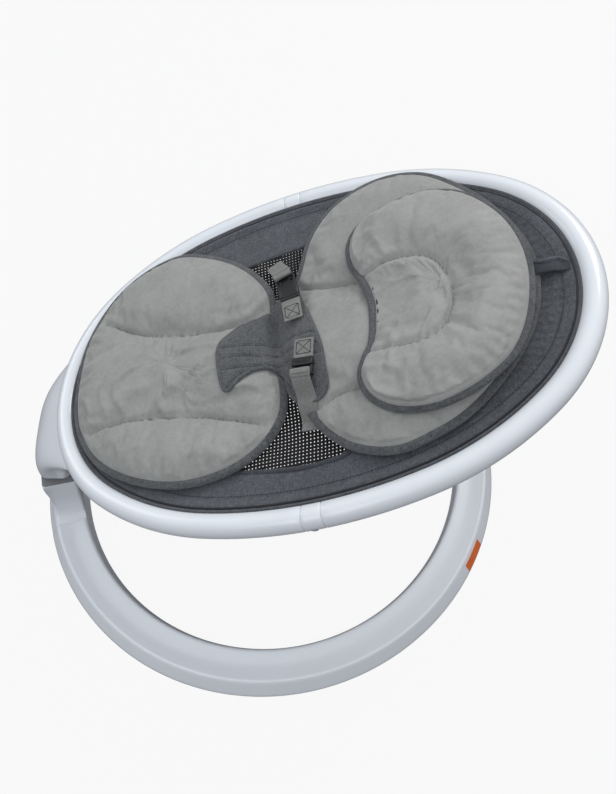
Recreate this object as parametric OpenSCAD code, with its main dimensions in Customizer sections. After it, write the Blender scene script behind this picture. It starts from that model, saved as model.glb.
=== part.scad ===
// Powered baby swing: an oval reclined seat ring on a low swivel neck,
// cantilevered over a round floor ring. Millimetres, +Z up, foot end towards -Y.

/* [Floor ring] */
// Outer radius of the floor ring where it meets its feet
base_r = 373; // [360:1:390]
// Inner radius of the floor ring at the floor
base_inner_r = 308; // [300:1:318]
// Height of the floor ring's crisp outer edge
base_h = 30; // [27:0.5:34]
// Wall thickness of the moulded shells
wall = 3; // [2.4:0.1:3.5]
// Half of the angle that the neck takes out of the floor ring, in degrees
neck_half_angle = 17; // [15:0.5:19]

/* [Neck] */
// Distance from the floor ring's centre to the swivel hub
hub_r = 322; // [318:1:326]
// Height of the neck's top face at the swivel axis
hub_z = 116; // [112:1:124]
// Lean of the swivel axis towards the head end, in degrees
hub_tilt = 10; // [6:1:12]
// Half of the neck's width at its top
neck_half_w = 72; // [68:1:76]

/* [Seat ring] */
// Half length of the seat ring's centreline
seat_a = 355; // [345:1:365]
// Half width of the seat ring's centreline
seat_b = 237; // [230:1:245]
// Radius of the seat tube
tube_r = 15; // [14:0.5:16]
// Recline of the seat, in degrees
recline = 20; // [18:0.5:22]
// Height of the seat ring's centre above the floor
seat_z = 362; // [356:1:370]

/* [Soft parts] */
// How far the sling sags below its edge at the middle
sling_sag = 8; // [4:1:14]
// Thickness of the padded insert
pad_t = 26; // [22:1:28]

/* [Hidden] */
$fn = 96;

base_y = -20;                 // the floor ring's centre, so that the model's box is centred
seat_y = 44;                  // the seat ring's centre
foot_h = 3;                   // height of the rubber feet
gap = 0.3;                    // clearance between neighbouring pieces
base_top_r = base_r - 17;     // the crisp outer edge
base_in_top_r = base_inner_r + 5;
neck_face_r = base_r - 21;    // the neck's front face
split_r = 326;                // where the neck's front and back shells meet
oval_n = 2.157;               // roundness of the seat's outline

// Three arcs a quadrant make the seat ring's oval: end, middle and side.
mid_r = 359;
phi_1 = 53;
phi_2 = 78;
k_x = seat_a - mid_r * (cos(phi_1) - cos(phi_2));
k_y = seat_b - mid_r * (sin(phi_2) - sin(phi_1));
det = (1 - cos(phi_1)) * (1 - sin(phi_2)) - cos(phi_2) * sin(phi_1);
end_r = (k_x * (1 - sin(phi_2)) - cos(phi_2) * k_y) / det;
side_r = ((1 - cos(phi_1)) * k_y - sin(phi_1) * k_x) / det;
end_c = [0, seat_a - end_r];
mid_c = end_c + (end_r - mid_r) * [sin(phi_1), cos(phi_1)];
side_c = [seat_b - side_r, 0];
collar_half = 12;                                  // half length of a ring collar
collar_deg = asin(collar_half / side_r);
spigot_deg = asin(46 / side_r);                    // reach of the inner spigot

// Gear pair: a toothed sector on the seat's shaft, driven by a pinion.
gear_m = 1.5;
sector_teeth = 33;
pinion_teeth = 11;
pinion_x = gear_m * (sector_teeth + pinion_teeth) / 2;
shaft_r = 8;
running = 0.05;               // radial clearance of the shaft in its bearings

WHITE = "#e9edf2";
SILVER = "#b9bcc0";
GREY = "#8d9196";
DARK = "#3a3d42";
HEATHER = "#4a4e57";
VELOUR = "#a3a19e";

// ---------- frames ----------
module at_base() { translate([0, base_y, 0]) children(); }
module at_hub() { translate([0, base_y - hub_r, hub_z]) rotate([-hub_tilt, 0, 0]) children(); }
module at_seat() { translate([0, seat_y, seat_z]) rotate([recline, 0, 0]) children(); }
// A turned sector about the floor ring's centre; angles are counted from the foot end.
module sector(from, to) { at_base() rotate([0, 0, from - 90]) rotate_extrude(angle = to - from) children(); }
module both_sides() { children(); mirror([1, 0, 0]) children(); }

// ---------- floor ring ----------
function dish(r0, r1, z0, z1, dip, steps) =
    [for (i = [0:steps]) let (t = i / steps) [r0 + t * (r1 - r0), z0 + t * (z1 - z0) - dip * sin(180 * t)]];
function ring_outline(t) = concat(
    [[base_inner_r + t, foot_h - (t > 0 ? 1 : 0)], [base_in_top_r - 1 + t, base_h - 6 - t]],
    dish(base_in_top_r + 3 + t, base_top_r - 4 - t, base_h - 3.5 - t, base_h - 0.8 - t, 2.2, 8),
    [[base_top_r - t, base_h - t], [base_top_r + 3 - t, base_h - 2 - t], [base_r - 7 - t, base_h / 2],
     [base_r - 2 - t, 8], [base_r - t, foot_h - (t > 0 ? 1 : 0)]]);
screw_angles = [30:50:330];
module boss_places() { for (a = screw_angles) at_base() rotate([0, 0, a - 90]) translate([340, 0, 0]) children(); }

module base_ring() color(WHITE) {
    difference() {
        union() {
            difference() {
                sector(neck_half_angle, 360 - neck_half_angle) polygon(ring_outline(0));
                sector(neck_half_angle - 1, 361 - neck_half_angle) polygon(ring_outline(wall));
            }
            boss_places() translate([0, 0, 6]) cylinder(r = 4.5, h = base_h - 10.5);
        }
        boss_places() translate([0, 0, 5]) cylinder(r = 1.5, h = 14);
        label_recess();
    }
}
module base_ring_cover() color(SILVER) difference() {
    sector(neck_half_angle + 0.1, 359.9 - neck_half_angle)
        translate([base_inner_r + wall + 0.8, foot_h]) square([base_r - base_inner_r - 2 * wall - 2.4, 2.6]);
    boss_places() translate([0, 0, 2]) cylinder(r = 1.9, h = 5);
}
module base_screws() color(GREY) boss_places() union() {
    translate([0, 0, 1.2]) cylinder(r = 3.4, h = 1.8);
    translate([0, 0, 2.8]) cylinder(r = 1.48, h = 13);
}
module rubber_feet() color(DARK) for (a = [55:50:305])
    sector(a - 7, a + 7) translate([base_inner_r + 10, 0]) square([base_r - base_inner_r - 20, foot_h]);
module coupler_block(grow) sector(neck_half_angle - 5, neck_half_angle + 5)
    translate([base_inner_r + 14 - grow, foot_h + 4 - grow]) square([26 + 2 * grow, 15 + 2 * grow]);
module ring_coupler_left() color(GREY) mirror([1, 0, 0]) coupler_block(0);
module ring_coupler_right() color(GREY) coupler_block(0);
// A blank label in a shallow recess on the outer wall.
label_from = 144;
label_to = 152;
module label_strip(t0, t1) sector(label_from, label_to)
    polygon([[base_r - 7 - t0, base_h / 2 + 2], [base_r - 3.2 - t0, 8.5], [base_r - 3.2 - t1, 8.5], [base_r - 7 - t1, base_h / 2 + 2]]);
module label_recess() label_strip(-5, 0.9);
module warning_label_blank() color("#e8682a") label_strip(0.2, 0.8);

// ---------- neck ----------
function neck_outline(t) = [
    [base_inner_r + t, foot_h - (t > 0 ? 1 : 0)], [base_inner_r + 2 + t, 24], [base_inner_r + 1 + t, 44],
    [base_inner_r - 2 + t, 70], [base_inner_r - 7 + t, 100], [base_inner_r - 12 + t, 140],
    [neck_face_r - t, 140], [neck_face_r - t, 46], [base_top_r - t, base_h],
    [base_top_r + 3 - t, base_h - 2], [base_r - 7 - t, base_h / 2], [base_r - 2 - t, 8],
    [base_r - t, foot_h - (t > 0 ? 1 : 0)]];
// The neck's outline seen from the front: wide foot, concave shoulders, straight upper part.
bell_foot = 125;
bell_fillet = 34;
function bell_side(t) = concat(
    [[bell_foot, 0], [bell_foot, base_h - 2 - t], [neck_half_w + bell_fillet + 2, base_h - 2 - t]],
    [for (i = [0:8]) let (a = 90 * i / 8)
        [neck_half_w + 2 + bell_fillet - t - (bell_fillet - t) * sin(a), base_h - 2 + bell_fillet - t - (bell_fillet - t) * cos(a)]],
    [[neck_half_w - t, 140]]);
function flip(points) = [for (i = [len(points) - 1:-1:0]) [-points[i][0], points[i][1]]];
module neck_block(t) intersection() {
    sector(-neck_half_angle + (t > 0 ? 0.6 : 0), neck_half_angle - (t > 0 ? 0.6 : 0)) polygon(neck_outline(t));
    translate([0, 0, 0]) rotate([90, 0, 0]) linear_extrude(500) polygon(concat(bell_side(t), flip(bell_side(t))));
    at_hub() translate([-200, -200, -400 - cap_t - gap - (t > 0 ? -5 : 0)]) cube([400, 400, 400]);
}
cap_t = 3;
panel_z0 = 56;
panel_z1 = 98;
panel_deg = 7;
button_z = 77;
power_deg = 0;
speed_deg = 4;
button_r = 5;
module at_button(a) at_base() rotate([0, 0, a - 90]) translate([0, 0, button_z]) rotate([0, 90, 0]) children();
module shaft_way(r) at_hub() translate([0, 0, -70]) cylinder(r = r, h = 90);

module neck_front_shell() color(WHITE) difference() {
    neck_block(0);
    neck_block(wall);
    at_base() cylinder(r = split_r, h = 200);
    both_sides() coupler_block(0.2);
    for (a = [power_deg, speed_deg, -speed_deg]) at_button(a) translate([0, 0, 340]) cylinder(r = button_r + 1.2, h = 20);
    sector(-panel_deg, panel_deg) translate([neck_face_r - 1, panel_z0]) square([6, panel_z1 - panel_z0]);
}
module neck_back_shell() color(WHITE) difference() {
    intersection() {
        neck_block(0);
        at_base() cylinder(r = split_r - 0.1, h = 200);
    }
    neck_block(wall);
    both_sides() coupler_block(0.2);
    for (dx = [-10:5:10]) translate([-39.2 + dx, base_y - 316, 58]) cube([2.4, 30, 24]);
    inlet_bore(5.7);
}
module inlet_bore(r) translate([40, base_y - 290, 22]) rotate([90, 0, 0]) cylinder(r = r, h = 34);
module power_inlet() color(DARK) difference() {
    translate([40, base_y - 304.5, 22]) rotate([90, 0, 0]) cylinder(r = 5.5, h = 16);
    translate([40, base_y - 300, 22]) rotate([90, 0, 0]) cylinder(r = 3, h = 15);
}
module neck_base_plate() color(SILVER) difference() {
    sector(-neck_half_angle + 0.9, neck_half_angle - 0.9)
        translate([base_inner_r + wall + 0.8, foot_h]) square([base_r - base_inner_r - 2 * wall - 2.4, 2.6]);
}
module neck_top_cap() color(GREY) difference() {
    intersection() {
        sector(-neck_half_angle, neck_half_angle) polygon(neck_outline(0.4));
        translate([0, 0, 0]) rotate([90, 0, 0]) linear_extrude(500) polygon(concat(bell_side(0.4), flip(bell_side(0.4))));
        at_hub() translate([-200, -200, -cap_t]) cube([400, 400, cap_t]);
    }
    shaft_way(shaft_r + 1);
}
module control_panel() color("#17191c") difference() {
    sector(-panel_deg + 0.1, panel_deg - 0.1) translate([neck_face_r - 0.9, panel_z0 + 0.4]) square([2.2, panel_z1 - panel_z0 - 0.8]);
    for (a = [power_deg, speed_deg, -speed_deg]) at_button(a) translate([0, 0, 340]) cylinder(r = button_r + gap, h = 20);
}
module push_button(a) at_button(a) union() {
    translate([0, 0, neck_face_r - 2.6]) cylinder(r = button_r, h = 5.2);
    translate([0, 0, neck_face_r - 4]) cylinder(r = button_r - 2, h = 1.6);
}
module power_button() color("#d9dde2") push_button(power_deg);
module speed_button() color("#d9dde2") push_button(speed_deg);
module volume_button() color("#d9dde2") push_button(-speed_deg);
module button_spring(a) at_button(a) difference() {
    translate([0, 0, neck_face_r - 5.9]) cylinder(r = 2.6, h = 1.8);
    translate([0, 0, neck_face_r - 7]) cylinder(r = 1.6, h = 4);
}
module power_spring() color(SILVER) button_spring(power_deg);
module speed_spring() color(SILVER) button_spring(speed_deg);
module volume_spring() color(SILVER) button_spring(-speed_deg);
module control_board() color("#2e6b45") translate([-30, base_y - neck_face_r + 6.9, 68.5]) cube([60, 1.2, 13.5]);
module speaker() color(DARK) translate([-38, base_y - 313.5, 70]) rotate([90, 0, 0]) union() {
    cylinder(r = 16, h = 3);
    translate([0, 0, 3]) cylinder(r1 = 15, r2 = 9, h = 5);
    translate([0, 0, 8]) cylinder(r = 9, h = 6);
}

// ---------- drive, in the hub's own frame: x across, z up the swivel axis ----------
function inv(r0, t) = [r0 * (cos(t) + t * PI / 180 * sin(t)), r0 * (sin(t) - t * PI / 180 * cos(t))];
function turn(p, a) = [p[0] * cos(a) - p[1] * sin(a), p[0] * sin(a) + p[1] * cos(a)];
function roll_angle(r0, r) = sqrt(max(0, (r / r0) * (r / r0) - 1)) * 180 / PI;
// One tooth: an involute flank from the base circle to the tip, and its mirror image.
function flank(teeth, tip, back) =
    let (rp = gear_m * teeth / 2, r0 = rp * cos(20), ta = roll_angle(r0, rp), pa = atan2(inv(r0, ta)[1], inv(r0, ta)[0]),
         half = 90 / teeth - back / rp * 180 / PI, te = roll_angle(r0, rp + tip * gear_m))
    [for (i = [0:4]) turn(inv(r0, te * i / 4), -half - pa)];
function tooth(teeth, root, tip, back) =
    let (f = flank(teeth, tip, back), rr = gear_m * teeth / 2 - root * gear_m, a0 = atan2(f[0][1], f[0][0]))
    concat([[rr * cos(a0), rr * sin(a0)]], f, [for (i = [4:-1:0]) [f[i][0], -f[i][1]]], [[rr * cos(a0), -rr * sin(a0)]]);
module gear_outline(teeth, first, last, back) {
    for (i = [first:last]) rotate(360 / teeth * i) polygon(tooth(teeth, 1.35, 0.85, back));
}
module sector_gear() color("#d8d2b8") at_hub() translate([0, 0, -36]) difference() {
    union() {
        linear_extrude(8) gear_outline(sector_teeth, -2, 2, 0.09);
        intersection() {
            cylinder(r = gear_m * sector_teeth / 2 - 1.3 * gear_m, h = 8);
            linear_extrude(8) polygon([[0, 11], [0, -11], [21, -12], [25, 0], [21, 12]]);
        }
        cylinder(r = 12, h = 8);
    }
    translate([0, 0, -1]) cylinder(r = shaft_r, h = 10);
}
module drive_pinion() color("#d8d2b8") at_hub() translate([pinion_x, 0, -37]) difference() {
    union() {
        linear_extrude(10) gear_outline(pinion_teeth, 0, pinion_teeth - 1, 0.09);
        cylinder(r = gear_m * pinion_teeth / 2 - 1.3 * gear_m, h = 10);
    }
    translate([0, 0, -1]) cylinder(r = 2.5, h = 12);
}
module gear_motor() color(SILVER) at_hub() translate([pinion_x, 0, 0]) union() {
    translate([0, 0, -44]) cylinder(r = 2.45, h = 16);
    translate([0, 0, -58]) cylinder(r = 13, h = 14.5);
    translate([0, 0, -92]) cylinder(r = 11, h = 34);
}
module bearing_block() color(GREY) at_hub() difference() {
    union() {
        translate([-18, -15, -21]) cube([36, 30, 12]);
        translate([-18, -15, -66]) cube([36, 30, 12]);
        translate([-18, -11, -66]) cube([4, 26, 57]);
    }
    translate([0, 0, -70]) cylinder(r = shaft_r + 1, h = 70);
    translate([0, 0, -17]) cylinder(r = 13, h = 20);
    translate([0, 0, -62]) cylinder(r = 13, h = 8.5);
}
module bush(z0, h) at_hub() translate([0, 0, z0]) difference() {
    cylinder(r = 13 - running, h = h);
    translate([0, 0, -1]) cylinder(r = shaft_r + running, h = h + 2);
}
module upper_bearing() color("#c9ccd0") bush(-17, 7.9);
module lower_bearing() color("#c9ccd0") bush(-62, 7.9);
module swivel_shaft() color("#c9ccd0") at_hub() translate([0, 0, -69]) cylinder(r = shaft_r, h = 69 + core_h);
module shaft_collar() color(GREY) at_hub() difference() {
    translate([0, 0, -53.6]) cylinder(r = 11, h = 6);
    translate([0, 0, -54]) cylinder(r = shaft_r, h = 8);
}

// ---------- hub between the neck and the seat ring ----------
core_h = 60;                  // reach of the shaft into the hub core
hood_gap = 3;
// The hood is lofted from an oval rim over the neck up to the seat ring's foot end.
hood_steps = 10;
hood_sides = 40;
function rim_point(a, t) = [(neck_half_w - 0.5 - t) * sin(a), -2 - (28 - t) * cos(a)];
// Where the hood meets the ring: a flattened loop along the foot end, in row coordinates.
function top_point(a, t) = let (x = (118 - t) * sin(a), y = -seat_a * pow(1 - pow(abs(x) / seat_b, oval_n), 1 / oval_n))
    [x, seat_y + (y - (cos(a) > 0 ? 12 - t : -(22 - t)) * sqrt(abs(cos(a)))) * cos(recline),
     seat_z + y * sin(recline) + (cos(a) > 0 ? 1 : -9) * abs(cos(a)) - 2];
function hub_to_row(p) = [p[0], base_y - hub_r + p[1] * cos(hub_tilt) + p[2] * sin(hub_tilt),
                          hub_z - p[1] * sin(hub_tilt) + p[2] * cos(hub_tilt)];
// The front swells outwards before it turns back to the ring; the back runs nearly straight.
function hood_point(a, s, t) = let (lo = hub_to_row([rim_point(a, t)[0], rim_point(a, t)[1], hood_gap]), hi = top_point(a, t),
                                    turn_in = pow(s, 1.7 + 0.5 * cos(a)))
    [lo[0] + (hi[0] - lo[0]) * s * s, lo[1] + (hi[1] - lo[1]) * turn_in, lo[2] + (hi[2] - lo[2]) * s];
module hood_solid(t) {
    rows = [for (j = [0:hood_steps]) [for (i = [0:hood_sides - 1]) hood_point(360 * i / hood_sides, j / hood_steps, t)]];
    points = [for (row = rows, p = row) p];
    last = hood_steps * hood_sides;
    polyhedron(points, concat(
        [[for (i = [0:hood_sides - 1]) i]],
        [for (j = [0:hood_steps - 1], i = [0:hood_sides - 1]) let (k = (i + 1) % hood_sides)
            each [[j * hood_sides + i, (j + 1) * hood_sides + i, (j + 1) * hood_sides + k],
                  [j * hood_sides + i, (j + 1) * hood_sides + k, j * hood_sides + k]]],
        [[for (i = [hood_sides - 1:-1:0]) last + i]]));
}
module hub_hood() color(WHITE) difference() {
    hood_solid(0);
    hood_solid(wall);
    at_seat() ring_half(tube_r + gap, 0, 0);
    at_hub() translate([-100, -100, -20]) cube([200, 200, 20 + hood_gap]);
}
module hub_core() color(GREY) difference() {
    at_hub() union() {
        translate([0, 0, hood_gap + 1]) cylinder(r = 18, h = 57);
        translate([30, 0, 0]) rotate([90, 0, -90]) linear_extrude(60)
            polygon([[14, 40], [-16, 40], [-34, 114], [-10, 114]]);
    }
    at_hub() translate([0, 0, -1]) cylinder(r = shaft_r, h = core_h + 1);
    both_sides() grub_way(shaft_r - 3, 2, 15);
}
module grub_way(x, r, h) at_hub() translate([x, 0, 22]) rotate([0, 90, 0]) cylinder(r = r, h = h);
module hub_screws() color(SILVER) both_sides() grub_way(shaft_r + 0.1, 1.98, 9);

// ---------- seat ring ----------
module arc(centre, radius, from, to, r, bore = 0) translate([centre[0], centre[1], 0])
    rotate([0, 0, 90 - to]) rotate_extrude(angle = to - from) translate([radius, 0]) difference() {
        circle(r = r, $fn = 48);
        if (bore > 0) circle(r = bore, $fn = 48);
    }
// Half of the oval about its foot end (side 0) or head end (side 1), stopping short of the sides.
module ring_half(r, side, stop, bore = 0) mirror([0, side == 0 ? 1 : 0, 0]) union() {
    arc(end_c, end_r, -phi_1, phi_1, r, bore);
    both_sides() arc(mid_c, mid_r, phi_1, phi_2, r, bore);
    both_sides() arc(side_c, side_r, phi_2, 90 - stop, r, bore);
}
module button_way(r, h) at_seat() translate([seat_b + tube_r - 6, 0, 0]) rotate([0, 90, 0]) cylinder(r = r, h = h);
// The hollow halves are swept round the same oval: one section at each turn of its normal.
function turns(from, to, steps) = [for (i = [1:steps]) from + (to - from) * i / steps];
half_turns = concat([0], turns(0, phi_1, 10), turns(phi_1, phi_2, 8), turns(phi_2, 90 - collar_deg, 4));
all_turns = concat([for (i = [len(half_turns) - 1:-1:1]) -half_turns[i]], half_turns);
function oval_spot(phi) = let (p = abs(phi), n = [sin(p), cos(p)],
    q = p <= phi_1 ? end_c + end_r * n : p <= phi_2 ? mid_c + mid_r * n : side_c + side_r * n) [sign(phi) * q[0], q[1]];
module hollow_half(side) {
    m = 20;
    k = len(all_turns);
    function spot(phi, r, i) = let (q = oval_spot(phi), o = r * cos(360 * i / m))
        [q[0] + o * sin(phi), side * (q[1] + o * cos(phi)), r * sin(360 * i / m)];
    points = [for (r = [tube_r, tube_r - 2.5], phi = all_turns, i = [0:m - 1]) spot(phi, r, i)];
    function at(layer, j, i) = (layer * k + j) * m + i % m;
    faces = concat(
        [for (j = [0:k - 2], i = [0:m - 1]) each [[at(0, j, i), at(0, j + 1, i + 1), at(0, j + 1, i)], [at(0, j, i), at(0, j, i + 1), at(0, j + 1, i + 1)]]],
        [for (j = [0:k - 2], i = [0:m - 1]) each [[at(1, j, i), at(1, j + 1, i), at(1, j + 1, i + 1)], [at(1, j, i), at(1, j + 1, i + 1), at(1, j, i + 1)]]],
        [for (i = [0:m - 1]) each [[at(0, 0, i), at(1, 0, i), at(1, 0, i + 1)], [at(0, 0, i), at(1, 0, i + 1), at(0, 0, i + 1)]]],
        [for (i = [0:m - 1]) each [[at(0, k - 1, i), at(1, k - 1, i + 1), at(1, k - 1, i)], [at(0, k - 1, i), at(0, k - 1, i + 1), at(1, k - 1, i + 1)]]]);
    polyhedron(points, side > 0 ? faces : [for (f = faces) [f[2], f[1], f[0]]]);
}
module seat_ring_foot() color(WHITE) at_seat() hollow_half(-1);
module seat_ring_head() color(WHITE) at_seat() hollow_half(1);
module collar() difference() {
    at_seat() arc(side_c, side_r, 90 - collar_deg + 0.02, 90 + collar_deg - 0.02, tube_r);
    at_seat() arc(side_c, side_r, 90 - collar_deg - 0.1, 90 + collar_deg + 0.1, tube_r - 2.6);
    button_way(4.3, 20);
}
module spigot() difference() {
    at_seat() arc(side_c, side_r, 90 - spigot_deg, 90 + spigot_deg, tube_r - 2.8);
    at_seat() arc(side_c, side_r, 89 - spigot_deg, 91 + spigot_deg, tube_r - 5);
    button_way(4.3, 20);
}
module release_button() at_seat() translate([seat_b, 0, 0]) rotate([0, 90, 0]) union() {
    translate([0, 0, 7.2]) cylinder(r = 4, h = 8.6);
    translate([0, 0, 5.8]) cylinder(r = 5.6, h = 1.6);
}
module collar_right() color(WHITE) collar();
module collar_left() color(WHITE) mirror([1, 0, 0]) collar();
module spigot_right() color(GREY) spigot();
module spigot_left() color(GREY) mirror([1, 0, 0]) spigot();
module release_button_right() color(SILVER) release_button();
module release_button_left() color(SILVER) mirror([1, 0, 0]) release_button();

// ---------- soft parts, in the seat ring's frame ----------
sling_edge = tube_r + 1.2;      // the sling's edge lies this far inside the tube's centreline
sling_t = 3;
edge_up = 6;
function oval(a, inset) = [(seat_b - inset) * sign(sin(a)) * pow(abs(sin(a)), 2 / oval_n),
                           (seat_a - inset) * sign(cos(a)) * pow(abs(cos(a)), 2 / oval_n)];
function reach(p) = min(1, pow(pow(abs(p[0]) / (seat_b - sling_edge), oval_n) + pow(abs(p[1]) / (seat_a - sling_edge), oval_n), 1 / oval_n));
function sling_h(p) = edge_up - sling_sag * (1 - pow(reach(p), 2));
// A closed crowned body over a star-shaped outline: flat rim, domed top, base that follows the sling.
module pad(outline, centre, lift, rim, crown, steps = 7) {
    n = len(outline);
    spots = [for (j = [1:steps]) let (s = sin(90 * j / steps)) [for (p = outline) centre + s * (p - centre)]];
    lower = concat([[centre[0], centre[1], sling_h(centre) + lift]], [for (row = spots, p = row) [p[0], p[1], sling_h(p) + lift]]);
    upper = concat([[centre[0], centre[1], sling_h(centre) + lift + rim + crown]],
        [for (j = [1:steps], p = spots[j - 1]) [p[0], p[1], sling_h(p) + lift + rim + crown * cos(90 * j / steps)]]);
    m = len(lower);
    function at(j, i) = 1 + (j - 1) * n + i % n;
    polyhedron(concat(lower, upper), concat(
        [for (i = [0:n - 1]) [0, at(1, i), at(1, i + 1)]],
        [for (j = [1:steps - 1], i = [0:n - 1]) each [[at(j, i), at(j + 1, i), at(j + 1, i + 1)], [at(j, i), at(j + 1, i + 1), at(j, i + 1)]]],
        [for (i = [0:n - 1]) each [[at(steps, i), m + at(steps, i), m + at(steps, i + 1)], [at(steps, i), m + at(steps, i + 1), at(steps, i + 1)]]],
        [for (j = [1:steps - 1], i = [0:n - 1]) each [[m + at(j, i), m + at(j + 1, i + 1), m + at(j + 1, i)], [m + at(j, i), m + at(j, i + 1), m + at(j + 1, i + 1)]]],
        [for (i = [0:n - 1]) [m, m + at(1, i + 1), m + at(1, i)]]));
}
// Closed smooth curve through a few symmetric points, given for the +X side from foot to head.
function spline(p0, p1, p2, p3, t) = 0.5 * ((2 * p1) + (p2 - p0) * t + (2 * p0 - 5 * p1 + 4 * p2 - p3) * t * t + (3 * p1 - p0 - 3 * p2 + p3) * t * t * t);
function mirror_loop(side) = concat(side, [for (i = [len(side) - 2:-1:1]) [-side[i][0], side[i][1]]]);
function curve(side, steps) = let (c = mirror_loop(side), n = len(c))
    [for (i = [0:n - 1], k = [0:steps - 1]) spline(c[(i + n - 1) % n], c[i], c[(i + 1) % n], c[(i + 2) % n], k / steps)];

lower_side = [[0, -336], [70, -321], [130, -285], [165, -228], [175, -170], [150, -110], [105, -70], [55, -50], [0, -46]];
upper_side = [[0, -34], [52, -31], [84, -10], [108, 17], [140, 29], [172, 52], [190, 90], [199, 150], [176, 216], [120, 264], [50, 284], [0, 288]];
pillow_side = [[0, 104], [50, 100], [100, 84], [134, 94], [153, 140], [148, 200], [110, 250], [50, 276], [0, 280]];
pad_lift = 0.5;
pad_rim = 12;
pillow_t = 31;

module sling() color(HEATHER) at_seat()
    pad([for (i = [0:63]) oval(360 * i / 64, sling_edge)], [0, 0], -sling_t, sling_t - 0.2, 0.01, 6);
module insert_lower_pad() color(VELOUR) at_seat() pad(curve(lower_side, 4), [0, -195], pad_lift, pad_rim, pad_t - pad_rim);
module insert_upper_pad() color(VELOUR) at_seat() pad(curve(upper_side, 4), [0, 130], pad_lift, pad_rim, pad_t - pad_rim);
module head_pillow() color(VELOUR) at_seat() pad(curve(pillow_side, 4), [0, 185], pad_t + 1.2, pad_rim, pillow_t - pad_rim);

// The T-shaped crotch pad lies on the insert; webbing and buckles run out from its crossbar.
harness_z = 24.6;
harness_t = 4;
belt_y = 8;                 // the belt's middle line
belt_half = 12.5;           // half the width of the webbing
buckle_x = 53;              // where a buckle starts
socket_l = 20;
module belt_side(x, z) at_seat() translate([x, belt_y, z]) children();
module harness_pad() color(HEATHER) at_seat() difference() {
    translate([0, 0, harness_z]) union() {
        translate([-34, -110, 0]) cube([68, 120, harness_t]);
        translate([-50, -14, 0]) cube([100, 60, harness_t]);
    }
    both_sides() translate([66, -62, 0]) cylinder(r = 42, h = 100);
}
module patch_side() belt_side(12, harness_z + harness_t + 0.2) translate([0, -belt_half, 0]) cube([39, 2 * belt_half, 1.6]);
module patch_right() color(GREY) patch_side();
module patch_left() color(GREY) mirror([1, 0, 0]) patch_side();
module strap_side() {
    belt_side(buckle_x + socket_l + 15, harness_z + 4) translate([0, -belt_half, 0]) cube([12, 2 * belt_half, 1.6]);
    belt_side(buckle_x + socket_l + 26.8, harness_z + 4) translate([0, -belt_half, 0]) rotate([0, 24, 0]) cube([50, 2 * belt_half, 1.6]);
}
module strap_right() color(GREY) strap_side();
module strap_left() color(GREY) mirror([1, 0, 0]) strap_side();
// Side-release buckle: a hollow socket, and a tongue with a guide blade and two sprung clips.
module socket() belt_side(buckle_x, harness_z + 1) difference() {
    translate([0, -15, 0]) cube([socket_l, 30, 9]);
    translate([4, -12, 2]) cube([socket_l, 24, 5]);
}
module tongue() belt_side(buckle_x, harness_z + 1) union() {
    translate([socket_l + 0.3, -15, 0]) cube([14, 30, 9]);
    translate([7, -2.5, 2.5]) cube([socket_l - 6, 5, 4]);
}
module clip(side) belt_side(buckle_x, harness_z + 1) translate([5, side > 0 ? 8 : -11, 2.5]) cube([socket_l - 4.8, 3, 4]);
module buckle_socket_right() color(DARK) socket();
module buckle_socket_left() color(DARK) mirror([1, 0, 0]) socket();
module buckle_tongue_right() color(DARK) tongue();
module buckle_tongue_left() color(DARK) mirror([1, 0, 0]) tongue();
module clip_right_front() color(DARK) clip(-1);
module clip_right_back() color(DARK) clip(1);
module clip_left_front() color(DARK) mirror([1, 0, 0]) clip(-1);
module clip_left_back() color(DARK) mirror([1, 0, 0]) clip(1);
module head_strap() color(HEATHER) at_seat() translate([-12, 292, 9]) cube([24, 42, 3]);

base_ring();
base_ring_cover();
ring_coupler_left();
ring_coupler_right();
rubber_feet();
base_screws();
warning_label_blank();
neck_front_shell();
neck_back_shell();
neck_base_plate();
neck_top_cap();
control_panel();
power_button();
speed_button();
volume_button();
power_spring();
speed_spring();
volume_spring();
control_board();
speaker();
power_inlet();
gear_motor();
drive_pinion();
bearing_block();
upper_bearing();
lower_bearing();
swivel_shaft();
sector_gear();
shaft_collar();
hub_core();
hub_hood();
hub_screws();
seat_ring_foot();
seat_ring_head();
collar_left();
collar_right();
spigot_left();
spigot_right();
release_button_left();
release_button_right();
sling();
insert_lower_pad();
insert_upper_pad();
head_pillow();
harness_pad();
strap_left();
strap_right();
patch_left();
patch_right();
buckle_socket_left();
buckle_socket_right();
buckle_tongue_left();
buckle_tongue_right();
clip_left_front();
clip_left_back();
clip_right_front();
clip_right_back();
head_strap();
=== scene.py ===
"""Looks of the powered baby swing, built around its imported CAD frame. Metres, +Z up, foot end towards -Y."""
import math

import bpy
import numpy as np
from mathutils import Matrix, Vector, noise
from mathutils.bvhtree import BVHTree
from mathutils.geometry import delaunay_2d_cdt


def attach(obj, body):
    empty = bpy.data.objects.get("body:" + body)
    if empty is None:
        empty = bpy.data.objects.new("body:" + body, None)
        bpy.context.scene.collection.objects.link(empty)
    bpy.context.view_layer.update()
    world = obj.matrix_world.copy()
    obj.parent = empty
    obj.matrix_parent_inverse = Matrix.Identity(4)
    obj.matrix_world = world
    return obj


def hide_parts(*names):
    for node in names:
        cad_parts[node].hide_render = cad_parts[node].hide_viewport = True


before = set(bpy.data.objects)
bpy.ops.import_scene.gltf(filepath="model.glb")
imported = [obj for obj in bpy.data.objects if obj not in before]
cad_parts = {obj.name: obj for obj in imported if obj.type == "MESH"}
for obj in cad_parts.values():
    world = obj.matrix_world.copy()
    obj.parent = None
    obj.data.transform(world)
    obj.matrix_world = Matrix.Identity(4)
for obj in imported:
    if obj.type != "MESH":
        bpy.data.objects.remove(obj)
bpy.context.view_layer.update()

# ---------- driving sizes, as in the CAD model ----------
SEAT_A, SEAT_B, OVAL_N = 0.355, 0.237, 2.157      # half length, half width and roundness of the seat's centreline
TUBE_R = 0.015
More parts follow.
